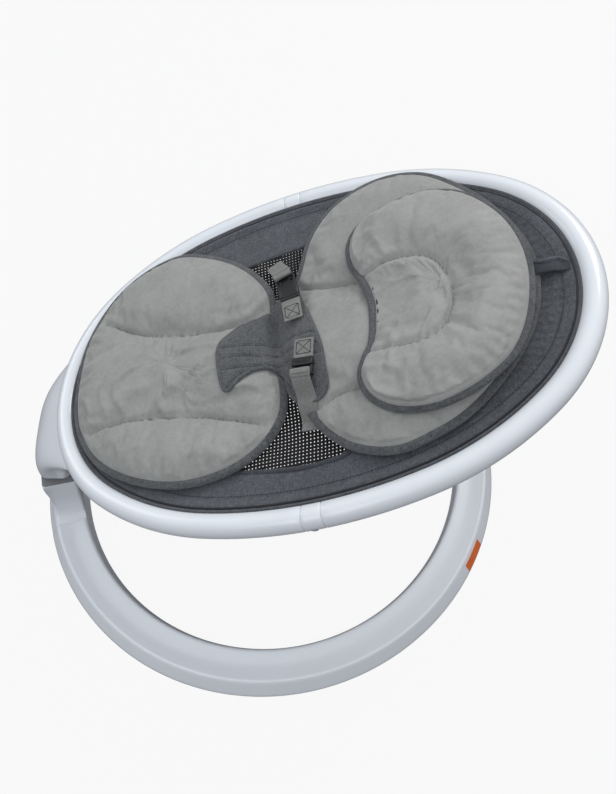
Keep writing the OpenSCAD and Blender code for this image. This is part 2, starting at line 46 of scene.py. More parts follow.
SEAT_C = Vector((0, 0.044, 0.362))
RECLINE = math.radians(20)
BASE_Y = -0.020
BASE_R, BASE_IN = 0.373, 0.308
BASE_H, FOOT_H = 0.030, 0.003
NECK_DEG = 17
HUB = Vector((0, BASE_Y - 0.322, 0.116))
HUB_TILT = math.radians(10)
NECK_HALF_W = 0.072
MID_R, PHI_1, PHI_2 = 0.359, math.radians(53), math.radians(78)
COLLAR_HALF = 0.012
SLING_UP = 0.007                                   # the sling's edge above the ring's centre plane
SLING_SAG = 0.008

U_AXIS = Vector((0, math.cos(RECLINE), math.sin(RECLINE)))
N_AXIS = Vector((0, -math.sin(RECLINE), math.cos(RECLINE)))
X_AXIS = Vector((1, 0, 0))


def seat_pt(x, y, h):
    """A point in the seat ring's frame, as row coordinates."""
    return SEAT_C + X_AXIS * x + U_AXIS * y + N_AXIS * h


# ---------- camera ----------
def add_camera():
    position = Vector((0.5048, 0.0416, 1.1093))
    azimuth, elevation, roll = (math.radians(d) for d in (85.51, 58.35, 0.45))
    back = Vector((math.sin(azimuth) * math.cos(elevation), -math.cos(azimuth) * math.cos(elevation), math.sin(elevation)))
    right = Vector((math.cos(azimuth), math.sin(azimuth), 0))
    up = back.cross(right)
    right, up = right * math.cos(roll) + up * math.sin(roll), up * math.cos(roll) - right * math.sin(roll)
    data = bpy.data.cameras.new("camera")
    data.sensor_width = 36
    data.lens = 31.82
    data.shift_x, data.shift_y = -0.0304, -0.0370
    data.clip_end = 20
    camera = bpy.data.objects.new("camera", data)
    m = Matrix.Identity(4)
    for i, column in enumerate((right, up, back, position)):
        for k in range(3):
            m[k][i] = column[k]
    camera.matrix_world = m
    bpy.context.scene.collection.objects.link(camera)
    bpy.context.scene.camera = camera


# ---------- materials ----------
class Nodes:
    """A small helper that builds a Principled material with named nodes."""

    def __init__(self, name, color, roughness=0.5, **sockets):
        self.material = bpy.data.materials.new(name)
        self.material.use_nodes = True
        self.tree = self.material.node_tree
        self.shader = self.tree.nodes["Principled BSDF"]
        self.shader.inputs["Base Color"].default_value = (*color, 1)
        self.shader.inputs["Roughness"].default_value = roughness
        for key, value in sockets.items():
            self.shader.inputs[key.replace("_", " ")].default_value = value
        self.coords = self.tree.nodes.new("ShaderNodeTexCoord")
        self.mapping = self.tree.nodes.new("ShaderNodeMapping")
        self.link(self.coords.outputs["Object"], self.mapping.inputs["Vector"])

    def link(self, a, b):
        self.tree.links.new(a, b)

    def noise(self, scale, detail=4, rough=0.5, stretch=None):
        node = self.tree.nodes.new("ShaderNodeTexNoise")
        node.inputs["Scale"].default_value = scale
        node.inputs["Detail"].default_value = detail
        node.inputs["Roughness"].default_value = rough
        source = self.mapping.outputs["Vector"]
        if stretch:
            extra = self.tree.nodes.new("ShaderNodeMapping")
            extra.inputs["Scale"].default_value = stretch
            self.link(source, extra.inputs["Vector"])
            source = extra.outputs["Vector"]
        self.link(source, node.inputs["Vector"])
        return node.outputs["Fac"]

    def wave(self, scale, axis, distortion=0.0):
        node = self.tree.nodes.new("ShaderNodeTexWave")
        node.bands_direction = axis
        node.inputs["Scale"].default_value = scale
        node.inputs["Distortion"].default_value = distortion
        node.inputs["Detail Scale"].default_value = 3
        self.link(self.mapping.outputs["Vector"], node.inputs["Vector"])
        return node.outputs["Fac"]

    def math(self, op, a, b):
        node = self.tree.nodes.new("ShaderNodeMath")
        node.operation = op
        for socket, value in zip(node.inputs, (a, b)):
            if isinstance(value, (int, float)):
                socket.default_value = value
            else:
                self.link(value, socket)
        return node.outputs[0]

    def ramp(self, fac, stops):
        node = self.tree.nodes.new("ShaderNodeValToRGB")
        while len(node.color_ramp.elements) < len(stops):
            node.color_ramp.elements.new(0.5)
        for element, (place, color) in zip(node.color_ramp.elements, stops):
            element.position = place
            element.color = (*color, 1)
        self.link(fac, node.inputs["Fac"])
        return node.outputs["Color"]

    def color(self, fac, stops):
        self.link(self.ramp(fac, stops), self.shader.inputs["Base Color"])

    def rough(self, fac, low, high):
        grey = self.ramp(fac, [(0.3, (low,) * 3), (0.7, (high,) * 3)])
        self.link(grey, self.shader.inputs["Roughness"])

    def bump(self, height, distance, strength=1.0):
        node = self.tree.nodes.new("ShaderNodeBump")
        node.inputs["Strength"].default_value = strength
        node.inputs["Distance"].default_value = distance
        self.link(height, node.inputs["Height"])
        self.link(node.outputs["Normal"], self.shader.inputs["Normal"])


def tint(color, k):
    return tuple(min(1, c * k) for c in color)


def gloss_plastic(name, color, roughness=0.22):
    n = Nodes(name, color, roughness, Coat_Weight=0.35, Coat_Roughness=0.08, IOR=1.5)
    mottled = n.noise(18, 3)
    n.color(mottled, [(0.3, tint(color, 0.985)), (0.7, tint(color, 1.01))])
    n.rough(n.noise(60, 5), roughness - 0.03, roughness + 0.05)
    n.bump(n.noise(900, 2), 0.00002, 0.25)
    return n.material


def satin_plastic(name, color, roughness=0.42):
    n = Nodes(name, color, roughness, IOR=1.48)
    n.color(n.noise(30, 4), [(0.3, tint(color, 0.93)), (0.7, tint(color, 1.06))])
    n.rough(n.noise(80, 5), roughness - 0.05, roughness + 0.08)
    n.bump(n.noise(2200, 3, 0.7), 0.00006, 0.4)
    return n.material


def metal(name, color, roughness=0.3):
    n = Nodes(name, color, roughness, Metallic=1.0)
    n.color(n.noise(40, 4), [(0.3, tint(color, 0.9)), (0.7, tint(color, 1.05))])
    n.rough(n.noise(200, 4, 0.6, (1, 1, 12)), roughness - 0.08, roughness + 0.1)
    n.bump(n.noise(1500, 2, 0.6, (1, 1, 20)), 0.00004, 0.3)
    return n.material


def woven(name, dark, light, pitch=700, sheen=0.25, fleck=420):
    """Heather cloth: a plain weave of two yarns, dark and light flecks, and slow shading."""
    n = Nodes(name, light, 0.88, Sheen_Weight=sheen, Sheen_Roughness=0.5, Specular_IOR_Level=0.25)
    n.mapping.inputs["Rotation"].default_value = (-RECLINE, 0, 0)
    across = n.noise(fleck, 3, 0.7, (0.35, 1.5, 1))
    along = n.noise(fleck, 3, 0.7, (1.5, 0.35, 1))
    slow = n.noise(16, 4, 0.6)
    flecks = n.math("ADD", n.math("MULTIPLY", across, 0.42), n.math("MULTIPLY", along, 0.42))
    mixed = n.math("ADD", flecks, n.math("MULTIPLY", slow, 0.16))
    n.color(mixed, [(0.36, dark), (0.5, tint(light, 0.82)), (0.64, tint(light, 1.45))])
    weave = n.math("ADD", n.wave(pitch, "X", 1.5), n.wave(pitch, "Y", 1.5))
    n.bump(n.math("ADD", weave, n.math("MULTIPLY", mixed, 1.6)), 0.00028, 0.75)
    return n.material


def velour(name, color):
    """Short pile: soft sheen, brushed patches and a fine nap."""
    n = Nodes(name, color, 0.92, Sheen_Weight=0.55, Sheen_Roughness=0.35, Specular_IOR_Level=0.15)
    patches = n.noise(22, 5, 0.62)
    nap = n.noise(700, 4, 0.75)
    brushed = n.noise(180, 4, 0.7, (1, 1, 0.5))
    mixed = n.math("ADD", n.math("MULTIPLY", patches, 0.4), n.math("ADD", n.math("MULTIPLY", nap, 0.28), n.math("MULTIPLY", brushed, 0.32)))
    n.color(mixed, [(0.34, tint(color, 0.80)), (0.5, color), (0.66, tint(color, 1.17))])
    n.bump(n.math("ADD", nap, brushed), 0.0005, 0.55)
    return n.material


def webbing(name, color):
    n = Nodes(name, color, 0.8, Sheen_Weight=0.2, Specular_IOR_Level=0.3)
    n.mapping.inputs["Rotation"].default_value = (-RECLINE, 0, 0)
    ribs = n.wave(420, "X", 0.4)
    cross = n.wave(700, "Y", 0.4)
    both = n.math("ADD", n.math("MULTIPLY", ribs, 0.6), n.math("MULTIPLY", cross, 0.4))
    n.color(n.math("ADD", n.math("MULTIPLY", both, 0.4), n.math("MULTIPLY", n.noise(300, 4, 0.6), 0.6)),
            [(0.3, tint(color, 0.72)), (0.7, tint(color, 1.18))])
    n.bump(both, 0.0004, 0.8)
    return n.material


def thread(name, color):
    n = Nodes(name, color, 0.7)
    n.color(n.noise(900, 2), [(0.35, tint(color, 0.7)), (0.65, tint(color, 1.2))])
    n.bump(n.wave(1800, "DIAGONAL", 1), 0.0001, 0.5)
    return n.material


WHITE = gloss_plastic("white_gloss", (0.80, 0.83, 0.87))
SILVER = satin_plastic("silver_plastic", (0.50, 0.52, 0.54))
# Grey plastic for the mechanism and the hub socket; on the neck's top cap this dark grey is painted shade from the hood
# above
GREY_AND_PAINTED_SHADE = satin_plastic("grey_plastic", (0.20, 0.205, 0.215))
BLACK = satin_plastic("black_plastic", (0.012, 0.013, 0.015), 0.34)
PANEL = gloss_plastic("panel_black", (0.012, 0.013, 0.016), 0.1)
BUTTON = satin_plastic("button_white", (0.66, 0.68, 0.70), 0.35)
ACETAL = satin_plastic("acetal", (0.72, 0.68, 0.52))
STEEL = metal("steel", (0.62, 0.62, 0.63))
ZINC = metal("zinc_steel", (0.45, 0.46, 0.47), 0.4)
RUBBER = satin_plastic("rubber_dark", (0.03, 0.03, 0.032), 0.75)
BOARD = satin_plastic("board_green", (0.03, 0.14, 0.06), 0.4)
LABEL = satin_plastic("label_orange", (0.80, 0.16, 0.03), 0.5)
HEATHER = woven("heather", (0.034, 0.039, 0.048), (0.105, 0.114, 0.131))
SLATE = woven("heather_slate", (0.022, 0.025, 0.033), (0.052, 0.058, 0.074))
BINDING = woven("heather_binding", (0.040, 0.044, 0.050), (0.135, 0.142, 0.150), 900)
VELOUR = velour("velour", (0.318, 0.320, 0.308))
VELOUR_PILLOW = velour("velour_pillow", (0.345, 0.345, 0.333))
WEB = webbing("webbing", (0.26, 0.26, 0.25))
MESH = satin_plastic("mesh_black", (0.012, 0.012, 0.014), 0.6)
STITCH_DARK = thread("stitch_dark", (0.02, 0.02, 0.024))
STITCH_GREY = thread("stitch_grey", (0.16, 0.165, 0.175))


# ---------- mesh helpers ----------
def add_mesh(name, points, faces, material, body, smooth=True):
    data = bpy.data.meshes.new(name)
    data.from_pydata([tuple(p) for p in points], [], faces)
    data.update()
    obj = bpy.data.objects.new(name, data)
    bpy.context.scene.collection.objects.link(obj)
    data.materials.append(material)
    if smooth:
        data.polygons.foreach_set("use_smooth", [True] * len(data.polygons))
    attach(obj, body)
    return obj


def grid_faces(rows, cols, close_rows=False, first=0):
    faces = []
    for j in range(rows if close_rows else rows - 1):
        for i in range(cols):
            a, b = first + j * cols, first + (j + 1) % rows * cols
            k = (i + 1) % cols
            faces.append((a + i, a + k, b + k, b + i))
    return faces


def loft(name, rows, material, body, close_rows=False, caps=True):
    """A closed skin through rows of the same number of points."""
    cols = len(rows[0])
    points = [p for row in rows for p in row]
    faces = grid_faces(len(rows), cols, close_rows)
    if caps and not close_rows:
        faces.append(tuple(range(cols - 1, -1, -1)))
        faces.append(tuple(range(len(points) - cols, len(points))))
    obj = add_mesh(name, points, faces, material, body)
    fix_normals(obj)
    return obj


def fix_normals(obj):
    import bmesh
    bm = bmesh.new()
    bm.from_mesh(obj.data)
    bmesh.ops.recalc_face_normals(bm, faces=bm.faces)
    bm.to_mesh(obj.data)
    bm.free()


def sharpen(obj, degrees=35):
    obj.data.set_sharp_from_angle(angle=math.radians(degrees))


def spline(points, steps, closed=False):
    """Catmull-Rom through 2-D or 3-D points."""
    p = [np.array(q, float) for q in points]
    n = len(p)
    out = []
    for i in range(n if closed else n - 1):
        if closed:
            a, b, c, d = (p[(i + k) % n] for k in (-1, 0, 1, 2))
        else:
            a, b, c, d = p[max(i - 1, 0)], p[i], p[i + 1], p[min(i + 2, n - 1)]
        for k in range(steps):
            t = k / steps
            out.append(0.5 * (2 * b + (c - a) * t + (2 * a - 5 * b + 4 * c - d) * t * t + (3 * b - a - 3 * c + d) * t ** 3))
    if not closed:
        out.append(p[-1])
    return np.array(out)


def even(points, count, closed=True):
    """The same curve with evenly spaced points."""
    p = np.vstack([points, points[:1]]) if closed else np.array(points)
    s = np.r_[0, np.cumsum(np.linalg.norm(np.diff(p, axis=0), axis=1))]
    t = np.linspace(0, s[-1], count + 1)[:-1] if closed else np.linspace(0, s[-1], count)
    return np.stack([np.interp(t, s, p[:, k]) for k in range(p.shape[1])], 1)


def tube(name, path, radius, material, body, closed=False, sides=10, flat=1.0, up=N_AXIS):
    """A cord-like piece along 3-D points; flat squeezes it along the up direction."""
    rows = []
    n = len(path)
    for i, p in enumerate(path):
        before = path[(i - 1) % n] if closed or i > 0 else p
        after = path[(i + 1) % n] if closed or i < n - 1 else p
        ahead = (Vector(after) - Vector(before)).normalized()
        side = ahead.cross(up).normalized()
        over = side.cross(ahead)
        rows.append([Vector(p) + side * radius * math.cos(a) + over * radius * flat * math.sin(a)
                     for a in (2 * math.pi * k / sides for k in range(sides))])
    return loft(name, rows, material, body, close_rows=closed)


def ribbon(name, path, width, thick, material, body, across=U_AXIS, crown=0.0):
    """Flat tape along 3-D points, its width along `across`; edges are rounded."""
    rows = []
    n = len(path)
    section = [(-0.5, 0), (-0.49, 0.4), (-0.44, 0.5), (0, 0.5 + crown), (0.44, 0.5), (0.49, 0.4), (0.5, 0),
               (0.49, -0.4), (0.44, -0.5), (-0.44, -0.5), (-0.49, -0.4)]
    for i, p in enumerate(path):
        ahead = (Vector(path[min(i + 1, n - 1)]) - Vector(path[max(i - 1, 0)])).normalized()
        over = ahead.cross(Vector(across)).normalized()
        if over.dot(N_AXIS) < 0:
            over = -over
        rows.append([Vector(p) + Vector(across) * width * a + over * thick * b for a, b in section])
    obj = loft(name, rows, material, body)
    sharpen(obj, 50)
    return obj


def stitches(name, lines, material, body, pitch=0.004, length=0.0028, radius=0.00042):
    """Short threads along 3-D polylines; each line is (points, closed)."""
    points, faces = [], []
    for path, closed in lines:
        path = np.array([tuple(p) for p in path])
        p = np.vstack([path, path[:1]]) if closed else path
        s = np.r_[0, np.cumsum(np.linalg.norm(np.diff(p, axis=0), axis=1))]
        for t in np.arange(pitch * 0.5, s[-1] - length, pitch):
            a, b = (Vector([float(np.interp(q, s, p[:, k])) for k in range(3)]) for q in (t, t + length))
            ahead = (b - a).normalized()
            side = ahead.cross(N_AXIS).normalized()
            first = len(points)
            for centre, r in ((a, 0.3), (a.lerp(b, 0.2), 1), (a.lerp(b, 0.8), 1), (b, 0.3)):
                points += [centre + (side * math.cos(w) + N_AXIS * math.sin(w)) * radius * r for w in (0, 1.257, 2.513, 3.770, 5.027)]
            faces += grid_faces(4, 5, first=first)
            faces += [tuple(range(first + 4, first - 1, -1)), tuple(range(first + 15, first + 20))]
    return add_mesh(name, points, faces, material, body)


# ---------- white shells ----------
def oval_arcs():
    """End, middle and side arcs of the seat ring's centreline: centre and radius of each."""
    k_x = SEAT_A - MID_R * (math.cos(PHI_1) - math.cos(PHI_2))
    k_y = SEAT_B - MID_R * (math.sin(PHI_2) - math.sin(PHI_1))
    m = np.array([[1 - math.cos(PHI_1), math.cos(PHI_2)], [math.sin(PHI_1), 1 - math.sin(PHI_2)]])
    end_r, side_r = np.linalg.solve(m, [k_x, k_y])
    end_c = np.array([0, SEAT_A - end_r])
    mid_c = end_c + (end_r - MID_R) * np.array([math.sin(PHI_1), math.cos(PHI_1)])
    return (end_c, end_r), (mid_c, MID_R), (np.array([SEAT_B - side_r, 0]), side_r)


ARCS = oval_arcs()


def oval_spot(phi):
    """Centreline point and outward normal of the seat ring, phi counted from the head end, all round."""
    x_sign = 1 if math.sin(phi) >= 0 else -1
    y_sign = 1 if math.cos(phi) >= 0 else -1
    p = math.asin(min(1, abs(math.sin(phi))))
    n = np.array([math.sin(p), math.cos(p)])
    c, r = ARCS[0] if p <= PHI_1 else ARCS[1] if p <= PHI_2 else ARCS[2]
    q = c + r * n
    return np.array([q[0] * x_sign, q[1] * y_sign]), np.array([n[0] * x_sign, n[1] * y_sign])


def ring_row(phi, radius, sides=44):
    q, n = oval_spot(phi)
    return [seat_pt(q[0] + n[0] * radius * math.cos(a), q[1] + n[1] * radius * math.cos(a), radius * math.sin(a))
            for a in (2 * math.pi * k / sides for k in range(sides))]


def ring_piece(name, start, stop, steps, node):
    """One length of the seat tube between two turns, its ends eased so that the joint shows as a fine line."""
    ease = 0.0009 / ARCS[2][1]
    turns = [start, start + ease] + list(np.linspace(start + 2 * ease, stop - 2 * ease, steps)) + [stop - ease, stop]
    radii = [TUBE_R - 0.0011, TUBE_R - 0.0003] + [TUBE_R] * steps + [TUBE_R - 0.0003, TUBE_R - 0.0011]
    obj = loft(name, [ring_row(t, r) for t, r in zip(turns, radii)], WHITE, "seat")
    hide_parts(node)
    return obj


def build_seat_ring():
    half_pi, c = math.pi / 2, math.asin(COLLAR_HALF / ARCS[2][1])
    ring_piece("ring_head_shell", -half_pi + c, half_pi - c, 150, "seat_ring_head")
    ring_piece("ring_foot_shell", half_pi + c, 3 * half_pi - c, 150, "seat_ring_foot")
    ring_piece("ring_collar_right", half_pi - c, half_pi + c, 8, "collar_right")
    ring_piece("ring_collar_left", -half_pi - c, -half_pi + c, 8, "collar_left")


def base_profile():
    """The floor ring's cross-section, radius and height, from the inner foot over the top to the outer foot."""
    top_in, top_out = BASE_IN + 0.005, BASE_R - 0.017
    dish = [(top_in + 0.0045 + t * (top_out - top_in - 0.009), BASE_H - 0.0040 + 0.0030 * t - 0.0024 * math.sin(math.pi * t) ** 1.2)
            for t in np.linspace(0, 1, 14)]
    rise = [(BASE_IN, FOOT_H), (BASE_IN + 0.0016, 0.010), (BASE_IN + 0.0032, 0.018),
            (top_in - 0.0006, 0.0232), (top_in + 0.0008, 0.0252), (top_in + 0.0026, 0.0260)]
    lip = [(top_out - 0.0030, BASE_H - 0.0005), (top_out - 0.0012, BASE_H), (top_out + 0.0004, BASE_H - 0.0002), (top_out + 0.0018, BASE_H - 0.0012)]
    fall = [(top_out + 0.0042, BASE_H - 0.0045), (BASE_R - 0.0085, 0.0180), (BASE_R - 0.0040, 0.0110),
            (BASE_R - 0.0014, 0.0066), (BASE_R - 0.0002, 0.0040), (BASE_R - 0.0006, FOOT_H)]
    return rise + dish + lip + fall


def base_pt(degrees, r, z):
    """Polar about the floor ring's centre; degrees counted from the foot end towards +X."""
    a = math.radians(degrees - 90)
    return Vector((r * math.cos(a), BASE_Y + r * math.sin(a), z))


def build_base_ring():
    profile = base_profile()
    ease = 0.12
    middle = list(np.linspace(NECK_DEG + 3 * ease, 360 - NECK_DEG - 3 * ease, 260))
    turns = [NECK_DEG, NECK_DEG + ease] + middle + [360 - NECK_DEG - ease, 360 - NECK_DEG]
    rows = []
    for i, turn in enumerate(turns):
        k = 0.0007 if i in (0, len(turns) - 1) else 0.0
        mid = (BASE_IN + BASE_R) / 2
        rows.append([base_pt(turn, r + (k if r < mid else -k), z - (k if z > 0.01 else 0)) for r, z in profile])
    obj = loft("floor_ring_shell", rows, WHITE, "base")
    sharpen(obj, 60)
    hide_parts("base_ring")


def build_label():
    """A blank label on the floor ring's outer wall."""
    profile = np.array([p for p in base_profile() if p[0] > BASE_R - 0.014])
    heights = np.linspace(0.0065, 0.0215, 9)
    radii = np.interp(heights, profile[::-1, 1], profile[::-1, 0])
    rows = []
    for turn in np.linspace(144.5, 152.0, 24):
        face = [base_pt(turn, r + 0.0005, z + 0.0002) for r, z in zip(radii, heights)]
        back = [base_pt(turn, r - 0.0004, z) for r, z in zip(radii, heights)]
        rows.append(face + back[::-1])
    label = loft("label_blank", rows, LABEL, "base")
    sharpen(label, 40)
    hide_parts("warning_label_blank")


def hub_plane_z(y):
    return HUB.z - (y - HUB.y) * math.tan(HUB_TILT)


def neck_section(z, half_w, r_in, r_out, corner, drop=0.0):
    """A rounded sector of the floor ring's band: half width, inner and outer radius and corner radius."""
    mid, depth = (r_in + r_out) / 2, (r_out - r_in) / 2
    out = []
    per_side = 16
    for sx, sr, a0 in ((1, 1, 0), (-1, 1, 90), (-1, -1, 180), (1, -1, 270)):
        for k in range(8):
            a = math.radians(a0 + 90 * k / 7)
            out.append((sx * (half_w - corner) + corner * math.cos(a), sr * (depth - corner) + corner * math.sin(a)))
        nxt = {0: (-1, 1), 90: (-1, -1), 180: (1, -1), 270: (1, 1)}[a0]
        last = out[-1]
        a = math.radians(a0 + 90)
        end = (nxt[0] * (half_w - corner) + corner * math.cos(a), nxt[1] * (depth - corner) + corner * math.sin(a))
        out += [(last[0] + (end[0] - last[0]) * k / per_side, last[1] + (end[1] - last[1]) * k / per_side) for k in range(1, per_side)]
    points = []
    for x, rho in out:
        turn = math.degrees(x / mid)
        p = base_pt(turn, mid + rho, z)
        edge = max(0.0, min(1.0, (abs(turn) - 12.5) / 4.5))
        t = max(0.0, min(1.0, (mid + rho - r_in) / (r_out - r_in)))
        p.z -= drop * edge * (0.0034 * (1 - t) + 0.0024 * math.sin(math.pi * t))
        if z > 0.06:
            p.z += (hub_plane_z(p.y) - 0.003 - NECK_TOP) * (z - 0.06) / (NECK_TOP - 0.06)
        points.append(p)
    return points


NECK_TOP = 0.113


def build_neck():
    seam = math.radians(NECK_DEG) * (BASE_IN + BASE_R) / 2
    heights = [FOOT_H, 0.006, 0.010, 0.015, 0.020, 0.024, 0.027, 0.0285, 0.0293, 0.0298]
    widths = [seam - 0.0004] * 6 + [seam - 0.0006, seam - 0.001, seam - 0.003, seam - 0.007]
    for k in range(1, 15):
        a = math.radians(90 * k / 14)
        fillet = seam - 0.007 - NECK_HALF_W - 0.001
        heights.append(0.0298 + 0.040 * (1 - math.cos(a)))
        widths.append(NECK_HALF_W + 0.001 + fillet * (1 - math.sin(a)))
    heights += [0.078, 0.088, 0.098, 0.106, 0.110, 0.112, NECK_TOP]
    widths += [NECK_HALF_W + 0.0006, NECK_HALF_W + 0.0003, NECK_HALF_W, NECK_HALF_W, NECK_HALF_W - 0.0004, NECK_HALF_W - 0.0012, NECK_HALF_W - 0.0026]
    rows = []
    for i, (z, w) in enumerate(zip(heights, widths)):
        r_out = float(np.interp(z, [0.003, 0.0045, 0.0066, 0.011, 0.018, 0.0255, 0.0288, 0.030, 0.046, 0.094, 0.116],
                                [0.3724, 0.3728, 0.3716, 0.369, 0.3645, 0.3602, 0.3578, 0.3562, 0.3525, 0.3518, 0.3480]))
        r_in = float(np.interp(z, [0.003, 0.024, 0.030, 0.044, 0.070, 0.100, 0.120], [0.308, 0.3115, 0.312, 0.3095, 0.306, 0.301, 0.298]))
        corner = float(np.interp(z, [0.003, 0.027, 0.030, 0.045], [0.0008, 0.0008, 0.0035, 0.0045]))
        ease = 0.0026 if i == len(heights) - 1 else 0.0011 if i == len(heights) - 2 else 0
        rows.append(neck_section(z, w, r_in + ease, r_out - ease, corner, drop=float(np.interp(z, [0.02, 0.029, 0.034], [0, 1, 0.3]))))
    inner = [p.copy() for p in rows[-1]]
    centre = sum(inner, Vector()) / len(inner)
    rows.append([p + (centre - p).normalized() * 0.0012 - Vector((0, 0, 0.003)) for p in inner])
    obj = loft("neck_shell", rows, WHITE, "base")
    sharpen(obj, 50)
    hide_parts("neck_front_shell", "neck_back_shell")
    # The neck's top cap lies in the shadow under the hood; its dark grey plastic is painted shade
    cap = [neck_section(z, NECK_HALF_W - inset, 0.3005 + inset, 0.3485 - inset, 0.0040)
           for z, inset in ((NECK_TOP - 0.001, 0.0022), (NECK_TOP + 0.0004, 0.0010), (NECK_TOP + 0.0018, 0.0008), (NECK_TOP + 0.0028, 0.0018))]
    lid = loft("neck_cap_painted_shade", cap, GREY_AND_PAINTED_SHADE, "base")
    sharpen(lid, 50)
    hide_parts("neck_top_cap")


def build_speaker_slots():
    """Five dark slots in front of the speaker, in the neck's back."""
    for i in range(5):
        x = -0.048 + 0.005 * i
        rows = []
        for z in np.linspace(0.058, 0.082, 12):
            r = float(np.interp(z, [0.044, 0.070, 0.100], [0.3095, 0.306, 0.301]))
            rows.append([base_pt(math.degrees((x + side) / r), r + depth, z)
                         for side, depth in ((-0.0012, -0.0006), (0.0012, -0.0006), (0.0012, 0.002), (-0.0012, 0.002))])
        sharpen(loft("speaker_slot_%d" % i, rows, BLACK, "base"), 40)


def build_hub_core():
    """The socket in the hood that takes the swivel shaft."""
    axis = Vector((0, math.sin(HUB_TILT), math.cos(HUB_TILT)))
    ahead = axis.cross(X_AXIS)
    rows = [[HUB + axis * z + X_AXIS * r * math.cos(a) + ahead * r * math.sin(a) for a in (2 * math.pi * i / 48 for i in range(48))]
            for z, r in ((0.0040, 0.0170), (0.0048, 0.0180), (0.0580, 0.0180), (0.0590, 0.0170))]
    core = loft("hub_core_shape", rows, GREY_AND_PAINTED_SHADE, "seat")
    sharpen(core, 50)
    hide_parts("hub_core")


def build_hood():
    """The seat's hub cover: an oval lip over the neck, raised at both sides, growing into the ring's foot end."""
    sides, steps = 96, 26

    def lip(a):
        across, along = abs(math.sin(a)) ** 0.62, abs(math.cos(a)) ** 0.62
        x = (NECK_HALF_W - 0.003) * math.copysign(across, math.sin(a))
        y = 0.001 - 0.0280 * math.copysign(along, math.cos(a))
        arch = 0.0030 + 0.0105 * across ** 6 * (1 - along ** 2)
        ahead = Vector((0, math.cos(HUB_TILT), -math.sin(HUB_TILT)))
        return HUB + X_AXIS * x + ahead * y + Vector((0, math.sin(HUB_TILT), math.cos(HUB_TILT))) * arch

    def top(a):
        x = 0.122 * math.sin(a)
        y = -SEAT_A * (1 - (abs(x) / SEAT_B) ** OVAL_N) ** (1 / OVAL_N)
        front = math.cos(a) > 0
        off = (0.0080 if front else -0.008) * math.sqrt(abs(math.cos(a)))
        return seat_pt(x, y - off, (-0.001 if front else -0.010) * abs(math.cos(a)) ** 0.5 - 0.003)

    rows = []
    for j in range(steps + 1):
        s = j / steps
        row = []
        for i in range(sides):
            a = 2 * math.pi * i / sides
            lo, hi = lip(a), top(a)
            turn_in = s ** (1.7 + 0.5 * math.cos(a))
            row.append(Vector((lo.x + (hi.x - lo.x) * s ** 2.2, lo.y + (hi.y - lo.y) * turn_in, lo.z + (hi.z - lo.z) * s)))
        rows.append(row)
    centre = HUB + Vector((0, 0.004, 0.03))
    rim_in = [p + Vector(((centre.x - p.x) * 0.035, (centre.y - p.y) * 0.09, 0.0008)) for p in rows[0]]
    up_in = [p + Vector((0, 0.002, 0.030)) for p in rim_in]
    obj = loft("hub_hood_shell", [up_in, rim_in] + rows, WHITE, "seat")
    mod = obj.modifiers.new("ease", "SMOOTH")
    mod.iterations = 2
    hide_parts("hub_hood")


# ---------- sling ----------
def reach(x, y):
    b, a = SEAT_B - TUBE_R - 0.001, SEAT_A - TUBE_R - 0.001
    return min(1.0, ((abs(x) / b) ** OVAL_N + (abs(y) / a) ** OVAL_N) ** (1 / OVAL_N))


def sling_h(x, y):
    return SLING_UP - SLING_SAG * (1 - reach(x, y) ** 2)


PANEL_BACK, PANEL_FRONT = 0.062, -0.262            # the mesh panel's ends, along the seat


def panel_outline(count):
    half = [(-0.138, PANEL_BACK - 0.004), (0, PANEL_BACK), (0.150, PANEL_BACK - 0.004), (0.178, 0.020), (0.170, -0.080), (0.140, -0.190),
            (0.090, PANEL_FRONT + 0.012), (0, PANEL_FRONT), (-0.090, PANEL_FRONT + 0.012), (-0.128, -0.190), (-0.142, -0.080), (-0.150, 0.020)]
    return even(spline(half, 12, closed=True), count)


def ring_inner(phi, section, lift=0.0):
    """A point on the tube's surface at a section angle counted from outwards, over the top, to inwards."""
    q, n = oval_spot(phi)
    r = TUBE_R + lift
    return seat_pt(q[0] + n[0] * r * math.cos(section), q[1] + n[1] * r * math.cos(section), r * math.sin(section))


def soft_noise(x, y, scale, seed=0.0):
    return noise.noise(Vector((x / scale, y / scale, seed)))


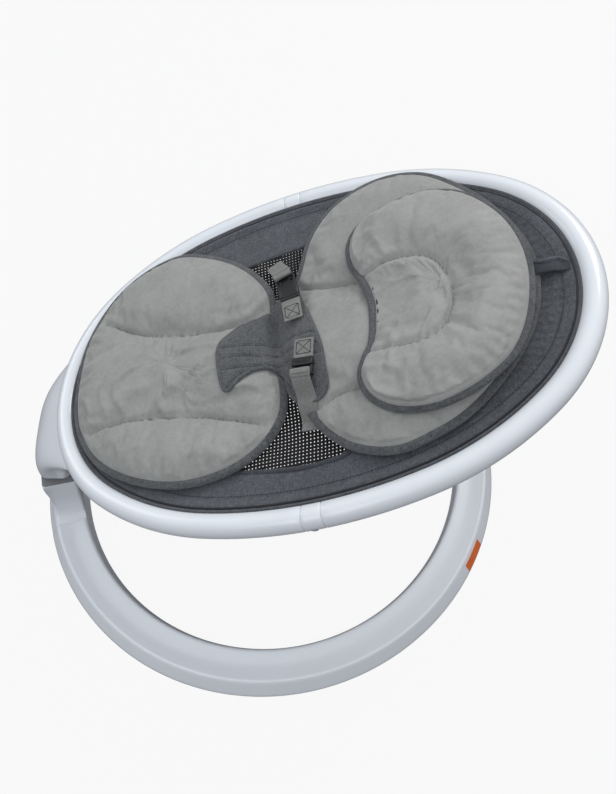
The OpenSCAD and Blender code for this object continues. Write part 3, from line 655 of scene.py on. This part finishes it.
def build_sling():
    count, rings = 360, 26
    phis = [2 * math.pi * i / count for i in range(count)]
    edge = []
    for phi in phis:
        q, n = oval_spot(phi)
        edge.append(q - n * (TUBE_R + 0.0045))
    edge = np.array(edge)
    outline = panel_outline(720)
    angles = np.arctan2(outline[:, 0], outline[:, 1])
    inner = []
    for x, y in edge:
        k = int(np.argmin(np.abs(np.angle(np.exp(1j * (angles - math.atan2(x, y)))))))
        inner.append(outline[k])
    inner = np.array(inner)
    for _ in range(6):
        inner = (np.roll(inner, 1, 0) + inner * 2 + np.roll(inner, -1, 0)) / 4
    rows = [[ring_inner(phi, math.radians(141), 0.0004) for phi in phis],
            [ring_inner(phi, math.radians(146), 0.0022) for phi in phis],
            [ring_inner(phi, math.radians(156), 0.0026) for phi in phis]]
    for j in range(rings + 1):
        t = j / rings
        row = []
        for i, phi in enumerate(phis):
            x, y = edge[i] * (1 - t) + inner[i] * t
            h = sling_h(x, y) + 0.0010 * soft_noise(x, y, 0.045, 3.1) + 0.0006 * soft_noise(x, y, 0.016, 7.7)
            hem = math.exp(-((t * np.linalg.norm(edge[i] - inner[i])) / 0.010) ** 2)
            h += 0.0016 * hem - 0.0030 * (1 - hem) * math.exp(-t * 4)
            h += 0.0005 * math.sin(phi * 95 + 2 * soft_noise(x, y, 0.03)) * math.exp(-((t * 0.1 - 0.012) / 0.012) ** 2)
            row.append(seat_pt(x, y, h))
        rows.append(row)
    points = [p for row in rows for p in row]
    obj = add_mesh("sling_fabric", points, grid_faces(len(rows), count), HEATHER, "seat")
    fix_normals(obj)
    solid = obj.modifiers.new("thickness", "SOLIDIFY")
    solid.thickness = 0.0014
    solid.offset = 0
    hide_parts("sling")
    hem_line = []
    for phi in phis:
        q, n = oval_spot(phi)
        x, y = q - n * (TUBE_R + 0.017)
        hem_line.append(seat_pt(x, y, sling_h(x, y) + 0.0014))
    stitches("sling_hem_stitches", [(hem_line, True)], STITCH_DARK, "seat", 0.0042, 0.0032)
    hem_fold = []
    for phi in phis:
        q, n = oval_spot(phi)
        x, y = q - n * (TUBE_R + 0.0030)
        hem_fold.append(seat_pt(x, y, sling_h(x, y) + 0.0012))
    tube("sling_hem_cord", hem_fold, 0.0014, STITCH_DARK, "seat", closed=True, sides=6)
    tape = [seat_pt(x, y, sling_h(x, y) + 0.0006) for x, y in panel_outline(200)]
    tube("sling_panel_tape", tape, 0.0034, SLATE, "seat", closed=True, flat=0.4)


def inside(x, y, polygon):
    odd = False
    px, py = polygon[:, 0], polygon[:, 1]
    j = len(polygon) - 1
    for i in range(len(polygon)):
        if (py[i] > y) != (py[j] > y) and x < (px[j] - px[i]) * (y - py[i]) / (py[j] - py[i]) + px[i]:
            odd = not odd
        j = i
    return odd


def build_mesh_panel():
    """Open net: square cells of thread, cut to the panel's outline."""
    cell = 0.0046
    outline = panel_outline(160)
    xs = np.arange(-0.186, 0.187, cell)
    ys = np.arange(-0.268, 0.070, cell)
    index, points, faces = {}, [], []
    for i, x in enumerate(xs):
        for j, y in enumerate(ys):
            if inside(x, y, outline * 1.012):
                sway = 0.0012 * soft_noise(x, y, 0.05, 5.0)
                index[i, j] = len(points)
                points.append(seat_pt(x + sway, y + 0.0008 * math.sin(x * 60), sling_h(x, y) - 0.0012 + 0.0016 * soft_noise(x, y, 0.06, 9.0)))
    for i in range(len(xs) - 1):
        for j in range(len(ys) - 1):
            corners = [(i, j), (i + 1, j), (i + 1, j + 1), (i, j + 1)]
            if all(c in index for c in corners):
                faces.append(tuple(index[c] for c in corners))
    obj = add_mesh("sling_net", points, faces, MESH, "seat", smooth=False)
    wire = obj.modifiers.new("threads", "WIREFRAME")
    wire.thickness = 0.0047
    wire.use_even_offset = False


# ---------- padded pieces ----------
def segment_distance(points, line, closed=False):
    """Distance from each 2-D point to a polyline, and how far along it the nearest spot is."""
    a = np.array(line)
    b = np.roll(a, -1, 0) if closed else a[1:]
    a = a if closed else a[:-1]
    best = np.full(len(points), 9.0)
    along = np.zeros(len(points))
    run = 0.0
    for p, q in zip(a, b):
        d = q - p
        length = np.linalg.norm(d)
        if length < 1e-9:
            continue
        t = np.clip(((points - p) @ d) / length ** 2, 0, 1)
        dist = np.linalg.norm(points - (p + t[:, None] * d), axis=1)
        near = dist < best
        along = np.where(near, run + t * length, along)
        best = np.where(near, dist, best)
        run += length
    return best, along


def round_off(d, width):
    """Rise of a stuffed edge: steep at the seam, flat once width away."""
    t = np.clip(d / width, 0, 1)
    return np.sqrt(1 - (1 - t) ** 2)


def puff(name, outline, centre, seams, base, rim, rise, material, node, seam_depth=0.8, width=0.05, pucker=0.0011, folds=None):
    """A stuffed pad on the sling: closed, crowned between its edge and its sewn seams, with puckers along them."""
    around, rings = len(outline), 46
    outline = np.array(outline)
    centre = np.array(centre)
    levels = [math.sin(math.pi / 2 * (j / rings)) ** 0.9 for j in range(1, rings + 1)]
    flat = np.vstack([[centre]] + [centre + (outline - centre) * s for s in levels])
    edge, edge_run = segment_distance(flat, outline, closed=True)
    lift = round_off(edge, width)
    line_depth = np.zeros(len(flat))
    near_any = np.exp(-edge / 0.014)
    ripple = near_any * np.array([noise.noise(Vector((r / 0.011, 0.3, 1.7))) for r in edge_run])
    for seam in seams:
        d, run = segment_distance(flat, seam)
        lift *= 1 - seam_depth * (1 - round_off(d, width * 0.62))
        line_depth += np.exp(-(d / 0.0022) ** 2) * 0.0016
        ripple += np.exp(-d / 0.013) * np.array([noise.noise(Vector((r / 0.010, 4.2, 2.9))) for r in run])
    h = rim + rise * lift - line_depth + pucker * ripple * (edge > 0.002)
    if folds is not None:
        h += folds(flat, edge)
    h += np.array([0.0007 * soft_noise(x, y, 0.05, 2.0) + 0.0003 * soft_noise(x, y, 0.012, 6.0) for x, y in flat]) * (edge > 0.001)
    grounds = np.array([base(x, y) for x, y in flat])
    points = [seat_pt(x, y, g + max(0.0015, z)) for (x, y), g, z in zip(flat, grounds, h)]
    under = len(points)
    points += [seat_pt(x, y, g + 0.0004) for (x, y), g in zip(flat, grounds)]
    faces = []
    for first, flip in ((0, False), (under, True)):
        fan = [(first, first + 1 + i, first + 1 + (i + 1) % around) for i in range(around)]
        quads = grid_faces(rings, around, first=first + 1)
        faces += [tuple(reversed(f)) if flip else f for f in fan + quads]
    last = 1 + (rings - 1) * around
    faces += [(last + i, under + last + i, under + last + (i + 1) % around, last + (i + 1) % around) for i in range(around)]
    obj = add_mesh(name, points, faces, material, "seat")
    fix_normals(obj)
    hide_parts(node)
    return obj


def fill_outline(outline, spacing):
    """Triangles inside an outline of any shape: 2-D points, faces and the edges of the rim in order."""
    outline = np.array(outline)
    count = len(outline)
    low, high = outline.min(0), outline.max(0)
    spots = np.array([(x + (0.5 * spacing if row % 2 else 0), y)
                      for row, y in enumerate(np.arange(low[1], high[1], spacing * 0.87)) for x in np.arange(low[0], high[0], spacing)])
    far, _ = segment_distance(spots, outline, closed=True)
    spots = [p for p, d in zip(spots, far) if d > 0.55 * spacing and inside(p[0], p[1], outline)]
    loop = [(i, (i + 1) % count) for i in range(count)]
    verts, _, faces, _, _, _ = delaunay_2d_cdt([Vector(p) for p in outline] + [Vector(p) for p in spots], loop, [], 1, 1e-7)
    sides = {}
    for face in faces:
        for a, b in zip(face, list(face[1:]) + [face[0]]):
            sides[(a, b)] = sides.get((a, b), 0) + 1
    rim = [(a, b) for a, b in sides if (b, a) not in sides]
    return np.array([tuple(v) for v in verts]), [tuple(f) for f in faces], rim


def thin_pad(name, outline, seams, base, rim, rise, width, material, node, spacing=0.0022, pucker=0.0003):
    """A thin quilted piece of any outline, lying on base(x, y)."""
    flat, faces, sides = fill_outline(outline, spacing)
    edge, _ = segment_distance(flat, outline, closed=True)
    h = rim + rise * round_off(edge, width)
    for seam in seams:
        d, run = segment_distance(flat, seam)
        h -= rise * 0.55 * np.exp(-(d / 0.0016) ** 2)
        h += pucker * np.exp(-d / 0.006) * np.array([noise.noise(Vector((r / 0.005, 1.1, 0.7))) for r in run])
    points = [seat_pt(x, y, base(x, y) + max(0.0012, z)) for (x, y), z in zip(flat, h)]
    under = len(points)
    points += [seat_pt(x, y, base(x, y)) for x, y in flat]
    skin = list(faces) + [tuple(under + i for i in reversed(f)) for f in faces] + [(b, a, under + a, under + b) for a, b in sides]
    obj = add_mesh(name, points, skin, material, "seat")
    fix_normals(obj)
    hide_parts(node)
    return obj


def swell(obj, pressure, cap, keep_below, frames=18):
    """Cloth simulation: the top of a pad swells and wrinkles between its pinned edge and seams."""
    start = np.array([v.co for v in obj.data.vertices])
    group = obj.vertex_groups.new(name="pins")
    group.add([i for i, pinned in enumerate(keep_below) if pinned], 1.0, "REPLACE")
    mod = obj.modifiers.new("cloth", "CLOTH")
    s = mod.settings
    s.quality = 5
    s.mass = 0.15
    s.tension_stiffness = s.compression_stiffness = 6
    s.shear_stiffness = 3
    s.bending_stiffness = 0.08
    s.use_pressure = True
    s.uniform_pressure_force = pressure
    s.shrink_min = -0.045
    s.vertex_group_mass = "pins"
    s.effector_weights.gravity = 0
    mod.collision_settings.use_collision = False
    scene = bpy.context.scene
    for f in range(1, frames + 1):
        scene.frame_set(f)
    graph = bpy.context.evaluated_depsgraph_get()
    moved = np.array([v.co for v in obj.evaluated_get(graph).data.vertices])
    obj.modifiers.remove(mod)
    scene.frame_set(1)
    shift = moved - start
    size = np.linalg.norm(shift, axis=1, keepdims=True)
    shift *= np.where(size > 1e-9, cap * np.tanh(size / cap) / np.maximum(size, 1e-9), 0)
    shift[~np.isfinite(shift).all(1)] = 0
    for v, d in zip(obj.data.vertices, shift):
        v.co += Vector(d)
    obj.data.update()


def settle(obj, outline, seams, pressure):
    """Swell a stuffed pad's top, with its edge, its seams and its underside held."""
    half = len(obj.data.vertices) // 2
    flat = np.array([[v.co.x, (v.co - SEAT_C).dot(U_AXIS)] for v in obj.data.vertices][:half])
    edge, _ = segment_distance(flat, np.array(outline), closed=True)
    pins = edge < 0.005
    for seam in seams:
        d, _ = segment_distance(flat, seam)
        pins |= d < 0.003
    swell(obj, pressure, 0.006, list(pins) + [True] * half)


def binding(name, outline, height, radius, flat):
    """Bias tape round an edge."""
    path = [seat_pt(x, y, height(x, y)) for x, y in outline]
    return tube(name, path, radius, BINDING, "seat", closed=True, flat=flat, sides=12)


def offset(outline, distance):
    """The outline moved inwards; it runs anticlockwise or clockwise, so its signed area sets the side."""
    ahead = np.roll(outline, -1, 0) - np.roll(outline, 1, 0)
    ahead /= np.linalg.norm(ahead, axis=1, keepdims=True)
    x, y = outline[:, 0], outline[:, 1]
    side = math.copysign(1, float((x * np.roll(y, -1) - np.roll(x, -1) * y).sum()))
    return outline + np.stack([-ahead[:, 1], ahead[:, 0]], 1) * side * distance


def edged(name, outline, height, radius):
    """Bias tape, its seam line and a row of stitches along one edge of a pad."""
    binding(name + "_binding", outline, height, radius, 0.62)
    seam = offset(outline, radius * 0.90)
    path = [seat_pt(x, y, height(x, y) + radius * 0.42) for x, y in seam]
    tube(name + "_piping", path, 0.0010, STITCH_DARK, "seat", closed=True, sides=6)
    row = [seat_pt(x, y, height(x, y) + radius * 0.60) for x, y in offset(outline, radius * 0.45)]
    stitches(name + "_edge_stitches", [(row, True)], STITCH_GREY, "seat", 0.0046, 0.0030)


LOWER = [(0, -0.326), (0.062, -0.316), (0.112, -0.284), (0.148, -0.232), (0.168, -0.168), (0.166, -0.108), (0.146, -0.062), (0.112, -0.034),
         (0.070, -0.030), (0, -0.040), (-0.066, -0.040), (-0.104, -0.056), (-0.142, -0.090), (-0.170, -0.135), (-0.184, -0.182), (-0.170, -0.238),
         (-0.134, -0.284), (-0.072, -0.318)]
UPPER = [(0, -0.020), (0.066, -0.018), (0.104, 0.004), (0.146, 0.032), (0.172, 0.066), (0.183, 0.108), (0.174, 0.150), (0.160, 0.184), (0.132, 0.222),
         (0.090, 0.260), (0.046, 0.283), (0, 0.292), (-0.040, 0.290), (-0.084, 0.276), (-0.130, 0.252), (-0.172, 0.218), (-0.200, 0.184), (-0.212, 0.142),
         (-0.206, 0.096), (-0.184, 0.054), (-0.146, 0.024), (-0.094, 0.006), (-0.050, -0.016)]
PILLOW = [(0.050, 0.098), (0.072, 0.087), (0.096, 0.080), (0.124, 0.090), (0.145, 0.116), (0.153, 0.152), (0.148, 0.186), (0.134, 0.220), (0.112, 0.250),
          (0.080, 0.270), (0.040, 0.283), (0, 0.288), (-0.040, 0.284), (-0.076, 0.272), (-0.110, 0.250), (-0.134, 0.222), (-0.146, 0.190), (-0.146, 0.154),
          (-0.138, 0.122), (-0.122, 0.096), (-0.098, 0.083), (-0.068, 0.084), (-0.038, 0.096), (0, 0.103)]


def rescale(points, count):
    return even(spline(points, 10, closed=True), count)


def pad_base(x, y):
    return sling_h(x, y) + 0.0012


def upper_top(x, y):
    """Where the pillow rests: over the upper pad, at a fixed height above the sling."""
    return sling_h(x, y) + 0.0240


def build_insert():
    lower = rescale(LOWER, 220)
    far = spline([(-0.098, -0.288), (-0.066, -0.238), (-0.048, -0.180), (-0.038, -0.121), (-0.040, -0.074), (-0.052, -0.050)], 10)
    near = spline([(0.076, -0.300), (0.070, -0.238), (0.078, -0.180), (0.089, -0.133), (0.104, -0.089), (0.118, -0.050)], 10)

    def wrinkles(flat, edge):
        """Loose cloth of the middle panel: long soft folds across it."""
        out = []
        for (x, y), e in zip(flat, edge):
            mid = max(0.0, 1 - abs((x - 0.018) / 0.070) ** 2) * min(1, e / 0.02)
            warp = 1.5 * noise.noise(Vector((x / 0.05, y / 0.08, 0.4)))
            ridge = 1 - abs(math.sin(math.pi * (y / 0.052 + 0.35 * math.sin(x / 0.024) + warp)))
            out.append(mid * (0.0052 * ridge ** 2.2 - 0.0028 + 0.0022 * noise.noise(Vector((x / 0.022, y / 0.03, 1.2)))))
        return np.array(out)

    pad = puff("insert_lower", lower, (0.0, -0.185), [far, near], pad_base, 0.0085, 0.0165, VELOUR, "insert_lower_pad",
               seam_depth=0.92, pucker=0.0016, folds=wrinkles)
    upper = rescale(UPPER, 240)
    far_2 = spline([(-0.068, 0.004), (-0.056, 0.050), (-0.052, 0.085), (-0.050, 0.150), (-0.066, 0.230), (-0.090, 0.272)], 8)
    near_2 = spline([(0.116, 0.012), (0.102, 0.049), (0.099, 0.080), (0.096, 0.150), (0.082, 0.220), (0.060, 0.276)], 8)
    pad_2 = puff("insert_upper", upper, (0.0, 0.135), [far_2, near_2], pad_base, 0.0085, 0.0150, VELOUR, "insert_upper_pad",
                 seam_depth=0.92, pucker=0.0015)
    edged("insert_lower", lower, lambda x, y: pad_base(x, y) + 0.0066, 0.0078)
    edged("insert_upper", upper, lambda x, y: pad_base(x, y) + 0.0066, 0.0078)
    pillow = rescale(PILLOW, 240)
    bowl = spline([(-0.044, 0.0945), (-0.052, 0.130), (-0.047, 0.166), (-0.031, 0.188), (0.0, 0.200), (0.030, 0.199), (0.056, 0.188), (0.070, 0.172),
                   (0.073, 0.144), (0.066, 0.0885)], 10)

    def dished(flat, edge):
        """The middle of the pillow lies lower than its rim."""
        out = []
        for x, y in flat:
            r = math.hypot((x - 0.012) / 0.058, (y - 0.128) / 0.070)
            ray = math.atan2(y - 0.14, x - 0.01)
            crease = 0.0020 * max(0, math.sin(ray * 9 + 0.8)) ** 4 * math.exp(-((r - 1.35) / 0.3) ** 2)
            out.append(-0.0065 * math.exp(-(r / 0.95) ** 4) - crease * (y > 0.15))
        return np.array(out)

    head = puff("pillow", pillow, (0.005, 0.190), [bowl], upper_top, 0.0085, 0.0215, VELOUR_PILLOW, "head_pillow",
                seam_depth=0.72, width=0.060, pucker=0.0014, folds=dished)
    edged("pillow", pillow, lambda x, y: upper_top(x, y) + 0.0066, 0.0064)
    return (pad, lower, [far, near]), (pad_2, upper, [far_2, near_2]), (head, pillow, [bowl])


# ---------- harness ----------
class Rest:
    """Heights, in the seat's frame, at which a stiff piece lies on the pads below it."""

    def __init__(self, objects):
        self.trees = [BVHTree.FromPolygons([tuple(v.co) for v in o.data.vertices], [tuple(p.vertices) for p in o.data.polygons]) for o in objects]
        self.known = {}

    def hit(self, x, y):
        key = (round(x / 0.002), round(y / 0.002))
        if key not in self.known:
            best = sling_h(x, y) + 0.006
            for tree in self.trees:
                spot = tree.ray_cast(seat_pt(key[0] * 0.002, key[1] * 0.002, 0.2), -N_AXIS)[0]
                if spot:
                    best = max(best, (spot - SEAT_C).dot(N_AXIS))
            self.known[key] = best
        return self.known[key]

    def __call__(self, x, y):
        """A piece bridges small dips, so its height is the mean of the highest spots around."""
        around = [self.hit(x + r * math.cos(a), y + r * math.sin(a)) for r in (0.006, 0.013) for a in (k * math.pi / 4 for k in range(8))]
        around.append(self.hit(x, y))
        around.sort()
        return sum(around[-9:]) / 9


def build_harness(rest):
    outline = rescale([(0, -0.103), (0.032, -0.104), (0.066, -0.095), (0.052, -0.074), (0.044, -0.048), (0.052, -0.026), (0.074, -0.010), (0.098, 0.002),
                       (0.104, 0.018), (0.094, 0.033), (0.066, 0.034), (0.034, 0.031), (0, 0.022), (-0.036, 0.010), (-0.062, 0.000), (-0.070, -0.014),
                       (-0.062, -0.028), (-0.046, -0.034), (-0.036, -0.046), (-0.030, -0.064), (-0.018, -0.084)], 240)
    quilting = [np.array([(x, -0.100 + 0.0), (x + 0.004, -0.055), (x + 0.010, 0.030)]) for x in (0.006, 0.022, 0.038)]
    obj = thin_pad("crotch_pad", outline, quilting, lambda x, y: rest(x, y) + 0.0002, 0.0020, 0.0030, 0.010, BINDING, "harness_pad")
    binding("crotch_pad_binding", outline, lambda x, y: rest(x, y) + 0.0016, 0.0034, 0.6)
    lines = [([seat_pt(x, y, rest(x, y) + 0.0038) for x, y in even(line, 30, closed=False)], False) for line in quilting]
    stitches("crotch_pad_stitches", lines, STITCH_DARK, "seat", 0.0036, 0.0026)
    return obj


def block(name, at, x0, x1, half, h0, h1, material, body, bevel=0.0012, node=None):
    """A moulded block along the belt: from x0 to x1, `half` to each side, between two heights."""
    points = [at(x, h, side) for h in (h0, h1) for side in (-half, half) for x in (x0, x1)]
    faces = [(0, 2, 3, 1), (4, 5, 7, 6), (0, 1, 5, 4), (2, 6, 7, 3), (0, 4, 6, 2), (1, 3, 7, 5)]
    obj = add_mesh(name, points, faces, material, body)
    fix_normals(obj)
    mod = obj.modifiers.new("edges", "BEVEL")
    mod.width = bevel
    mod.segments = 3
    if node:
        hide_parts(node)
    return obj


def build_belt(side, sign, rest, line, patch, socket, end):
    """Patch, side-release buckle and strap of one side; `line` gives the belt's middle along x."""
    def at(x, h, dy=0.0):
        slope = (line(x + 0.001) - line(x)) / 0.001
        k = 1 / math.hypot(1, slope)
        return seat_pt(sign * (x - slope * k * dy), line(x) + k * dy, h)

    def across(x):
        slope = (line(x + 0.001) - line(x)) / 0.001
        return (U_AXIS - X_AXIS * sign * slope).normalized()

    def floor(x):
        return rest(sign * x, line(x))

    top = max(floor(x) for x in np.linspace(patch[0], socket[1], 8)) + 0.0052
    flat = ribbon("belt_patch_" + side, [at(x, top + 0.0003 * math.sin(40 * i)) for i, x in enumerate(np.linspace(patch[0], patch[1] + 0.002, 12))],
                  0.025, 0.0019, WEB, "seat", across(patch[0]), 0.1)
    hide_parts("patch_" + side)
    x0, x1 = patch[0] + 0.003, patch[0] + 0.021
    p = [at(x0, top + 0.0013, -0.0092), at(x1, top + 0.0013, -0.0092), at(x1, top + 0.0013, 0.0092), at(x0, top + 0.0013, 0.0092)]
    cross = [(p, True), ([p[0], p[2]], False), ([p[1], p[3]], False)]
    stitches("belt_patch_stitches_" + side, cross, STITCH_DARK, "seat", 0.0027, 0.0021, 0.0005)
    s0, s1 = socket
    low, high = top - 0.0035, top + 0.0045
    body = "buckle_tongue_" + side
    block("buckle_body_" + side, at, s0, s1, 0.0135, low, high, BLACK, "seat", 0.0018, "buckle_socket_" + side)
    block("buckle_lip_" + side, at, s0 - 0.0035, s0 + 0.0012, 0.0128, low + 0.0012, high - 0.0012, BLACK, "seat", 0.0010)
    for i in range(5):
        x = s0 + 0.0035 + (s1 - s0 - 0.007) * i / 4
        block("buckle_rib_%s_%d" % (side, i), at, x - 0.0005, x + 0.0005, 0.0085, high - 0.0003, high + 0.0004,
              BLACK, "seat", 0.0003)
    block("buckle_stem_" + side, at, s1 + 0.0004, s1 + 0.0130, 0.0060, low + 0.0016, high - 0.0022,
          BLACK, body, 0.0010, "buckle_tongue_" + side)
    block("buckle_bar_" + side, at, s1 + 0.0096, s1 + 0.0135, 0.0138, low + 0.0010, high - 0.0012, BLACK, body, 0.0014)
    for place, way in (("back", 1), ("front", -1)):
        node = "clip_%s_%s" % (side, place)
        def arm(x, h, dy, way=way):
            return at(x, h, way * 0.0112 + dy)
        block("buckle_arm_%s_%s" % (side, place), arm, s1 + 0.0003, s1 + 0.0100, 0.0020, low + 0.0014, high - 0.0016,
              BLACK, node, 0.0009, node)
    first = s1 + 0.0085
    path = [(first, high + 0.0010), (first + 0.010, high + 0.0006)]
    reach_x = end - first - 0.010
    for t in (0.25, 0.5, 0.75, 1.0):
        x = first + 0.010 + reach_x * t
        fall = max(sling_h(sign * x, line(x)) + 0.003, min(high, floor(x) + 0.0016 if t < 0.7 else sling_h(sign * x, line(x)) + 0.003))
        path.append((x, fall))
    curve = spline([at(x, h) for x, h in path], 6)
    strap = ribbon("belt_strap_" + side, [Vector(p) for p in curve], 0.0240, 0.0017, WEB, body, across((first + end) / 2), 0.15)
    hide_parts("strap_" + side)
    fold = spline([at(first + x, high + h) for x, h in
                   ((-0.0005, 0.0016), (-0.0012, 0.0042), (0.0015, 0.0052), (0.0065, 0.0040), (0.0082, 0.0026))], 5)
    ribbon("belt_strap_hem_" + side, [Vector(p) for p in fold], 0.0243, 0.0019, WEB, body, across(first))
    seam = [at(first + 0.0058, high + 0.0053, -0.0112), at(first + 0.0058, high + 0.0053, 0.0112)]
    stitches("belt_hem_stitches_" + side, [(seam, False)], STITCH_DARK, body, 0.0024, 0.0019, 0.0004)


def build_head_loop():
    """Folded strap at the head end that ties the insert to the sling."""
    path = spline([seat_pt(*p) for p in ((0.000, 0.286, 0.0150), (-0.001, 0.298, 0.0175), (-0.002, 0.312, 0.0150),
                                         (-0.002, 0.326, 0.0092), (-0.002, 0.334, 0.0085))], 6)
    obj = ribbon("head_loop", [Vector(p) for p in path], 0.018, 0.0030, SLATE, "seat", X_AXIS, 0.35)
    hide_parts("head_strap")
    twist = spline([seat_pt(*p) for p in ((-0.010, 0.290, 0.0150), (-0.006, 0.306, 0.0190),
                                          (-0.010, 0.322, 0.0125), (-0.004, 0.332, 0.0100))], 6)
    tube("head_loop_fold", [Vector(p) for p in twist], 0.0032, HEATHER, "seat", sides=10)


# ---------- CAD pieces that stay ----------
KEPT = [
    (SILVER, ["base_ring_cover", "neck_base_plate", "release_button_left", "release_button_right"]),
    (GREY_AND_PAINTED_SHADE, ["ring_coupler_left", "ring_coupler_right", "bearing_block", "shaft_collar", "spigot_left",
        "spigot_right"]),
    (RUBBER, ["rubber_feet"]),
    (ZINC, ["base_screws", "gear_motor", "hub_screws"]),
    (PANEL, ["control_panel"]),
    (BUTTON, ["power_button", "speed_button", "volume_button"]),
    (STEEL, ["power_spring", "speed_spring", "volume_spring", "upper_bearing", "lower_bearing", "swivel_shaft"]),
    (BOARD, ["control_board"]),
    (BLACK, ["speaker", "power_inlet"]),
    (ACETAL, ["drive_pinion", "sector_gear"]),
]


def paint_kept():
    for material, names in KEPT:
        for name in names:
            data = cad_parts[name].data
            data.materials.clear()
            data.materials.append(material)


# ---------- stage ----------
def pale_floor():
    """A matt floor that bounces little light, shown nearly white to the camera with a faint shadow."""
    n = Nodes("floor_pale", (0.17, 0.17, 0.18), 0.8)
    glow = n.tree.nodes.new("ShaderNodeEmission")
    glow.inputs["Color"].default_value = (1, 1, 1, 1)
    glow.inputs["Strength"].default_value = 1.07
    path = n.tree.nodes.new("ShaderNodeLightPath")
    mix = n.tree.nodes.new("ShaderNodeMixShader")
    n.link(n.math("MULTIPLY", path.outputs["Is Camera Ray"], 0.86), mix.inputs["Fac"])
    n.link(n.shader.outputs["BSDF"], mix.inputs[1])
    n.link(glow.outputs["Emission"], mix.inputs[2])
    n.link(mix.outputs["Shader"], n.tree.nodes["Material Output"].inputs["Surface"])
    return n.material


def build_world():
    """Bright overhead, dim towards the horizon."""
    world = bpy.data.worlds.new("studio")
    bpy.context.scene.world = world
    world.use_nodes = True
    tree = world.node_tree
    background = tree.nodes["Background"]
    coords = tree.nodes.new("ShaderNodeTexCoord")
    split = tree.nodes.new("ShaderNodeSeparateXYZ")
    ramp = tree.nodes.new("ShaderNodeValToRGB")
    ramp.color_ramp.elements[0].position, ramp.color_ramp.elements[0].color = 0.0, (0.035, 0.037, 0.042, 1)
    ramp.color_ramp.elements[1].position, ramp.color_ramp.elements[1].color = 0.72, (1.0, 1.03, 1.07, 1)
    tree.links.new(coords.outputs["Generated"], split.inputs["Vector"])
    tree.links.new(split.outputs["Z"], ramp.inputs["Fac"])
    tree.links.new(ramp.outputs["Color"], background.inputs["Color"])
    background.inputs["Strength"].default_value = 0.84
    seen = tree.nodes.new("ShaderNodeBackground")
    seen.inputs["Color"].default_value = (0.97, 0.975, 0.98, 1)
    path = tree.nodes.new("ShaderNodeLightPath")
    mix = tree.nodes.new("ShaderNodeMixShader")
    tree.links.new(path.outputs["Is Camera Ray"], mix.inputs["Fac"])
    tree.links.new(background.outputs["Background"], mix.inputs[1])
    tree.links.new(seen.outputs["Background"], mix.inputs[2])
    tree.links.new(mix.outputs["Shader"], tree.nodes["World Output"].inputs["Surface"])


def build_stage():
    data = bpy.data.meshes.new("floor")
    data.from_pydata([(-30, -30, 0), (30, -30, 0), (30, 30, 0), (-30, 30, 0)], [], [(0, 1, 2, 3)])
    floor = bpy.data.objects.new("floor", data)
    bpy.context.scene.collection.objects.link(floor)
    data.materials.append(pale_floor())
    build_world()
    for name, place, size, power, color in (
            ("key", (-1.5, 1.3, 2.1), 1.1, 24, (1, 0.98, 0.95)), ("fill", (1.6, -1.4, 2.2), 1.2, 8, (0.93, 0.96, 1)),
            ("rim", (-0.9, -1.9, 1.2), 0.9, 5, (0.95, 0.97, 1))):
        light = bpy.data.lights.new(name, "AREA")
        light.energy, light.size, light.color = power, size, color
        obj = bpy.data.objects.new(name, light)
        obj.location = place
        obj.rotation_euler = (Vector((0, 0, 0.25)) - Vector(place)).to_track_quat("-Z", "Y").to_euler()
        bpy.context.scene.collection.objects.link(obj)
    bpy.context.scene.view_settings.view_transform = "Standard"


add_camera()
build_stage()
paint_kept()
build_seat_ring()
build_base_ring()
build_label()
build_neck()
build_speaker_slots()
build_hub_core()
build_hood()
build_sling()
build_mesh_panel()
pads = build_insert()
for (pad, outline, seams), pressure in zip(pads, (2.2, 2.2, 2.6)):
    settle(pad, outline, seams, pressure)
rest = Rest([pads[0][0], pads[1][0]])
build_harness(rest)
rest_2 = Rest([pads[0][0], pads[1][0], bpy.data.objects["crotch_pad"]])
build_belt("right", 1, rest_2, lambda x: 0.0150 - 0.10 * (x - 0.030), (0.028, 0.058), (0.0585, 0.0665), 0.134)
build_belt("left", -1, rest_2, lambda x: 0.0005 - 0.10 * (x - 0.023) - 3.4 * max(0.0, x - 0.045) ** 2, (0.007, 0.041), (0.0415, 0.0640), 0.130)
build_head_loop()
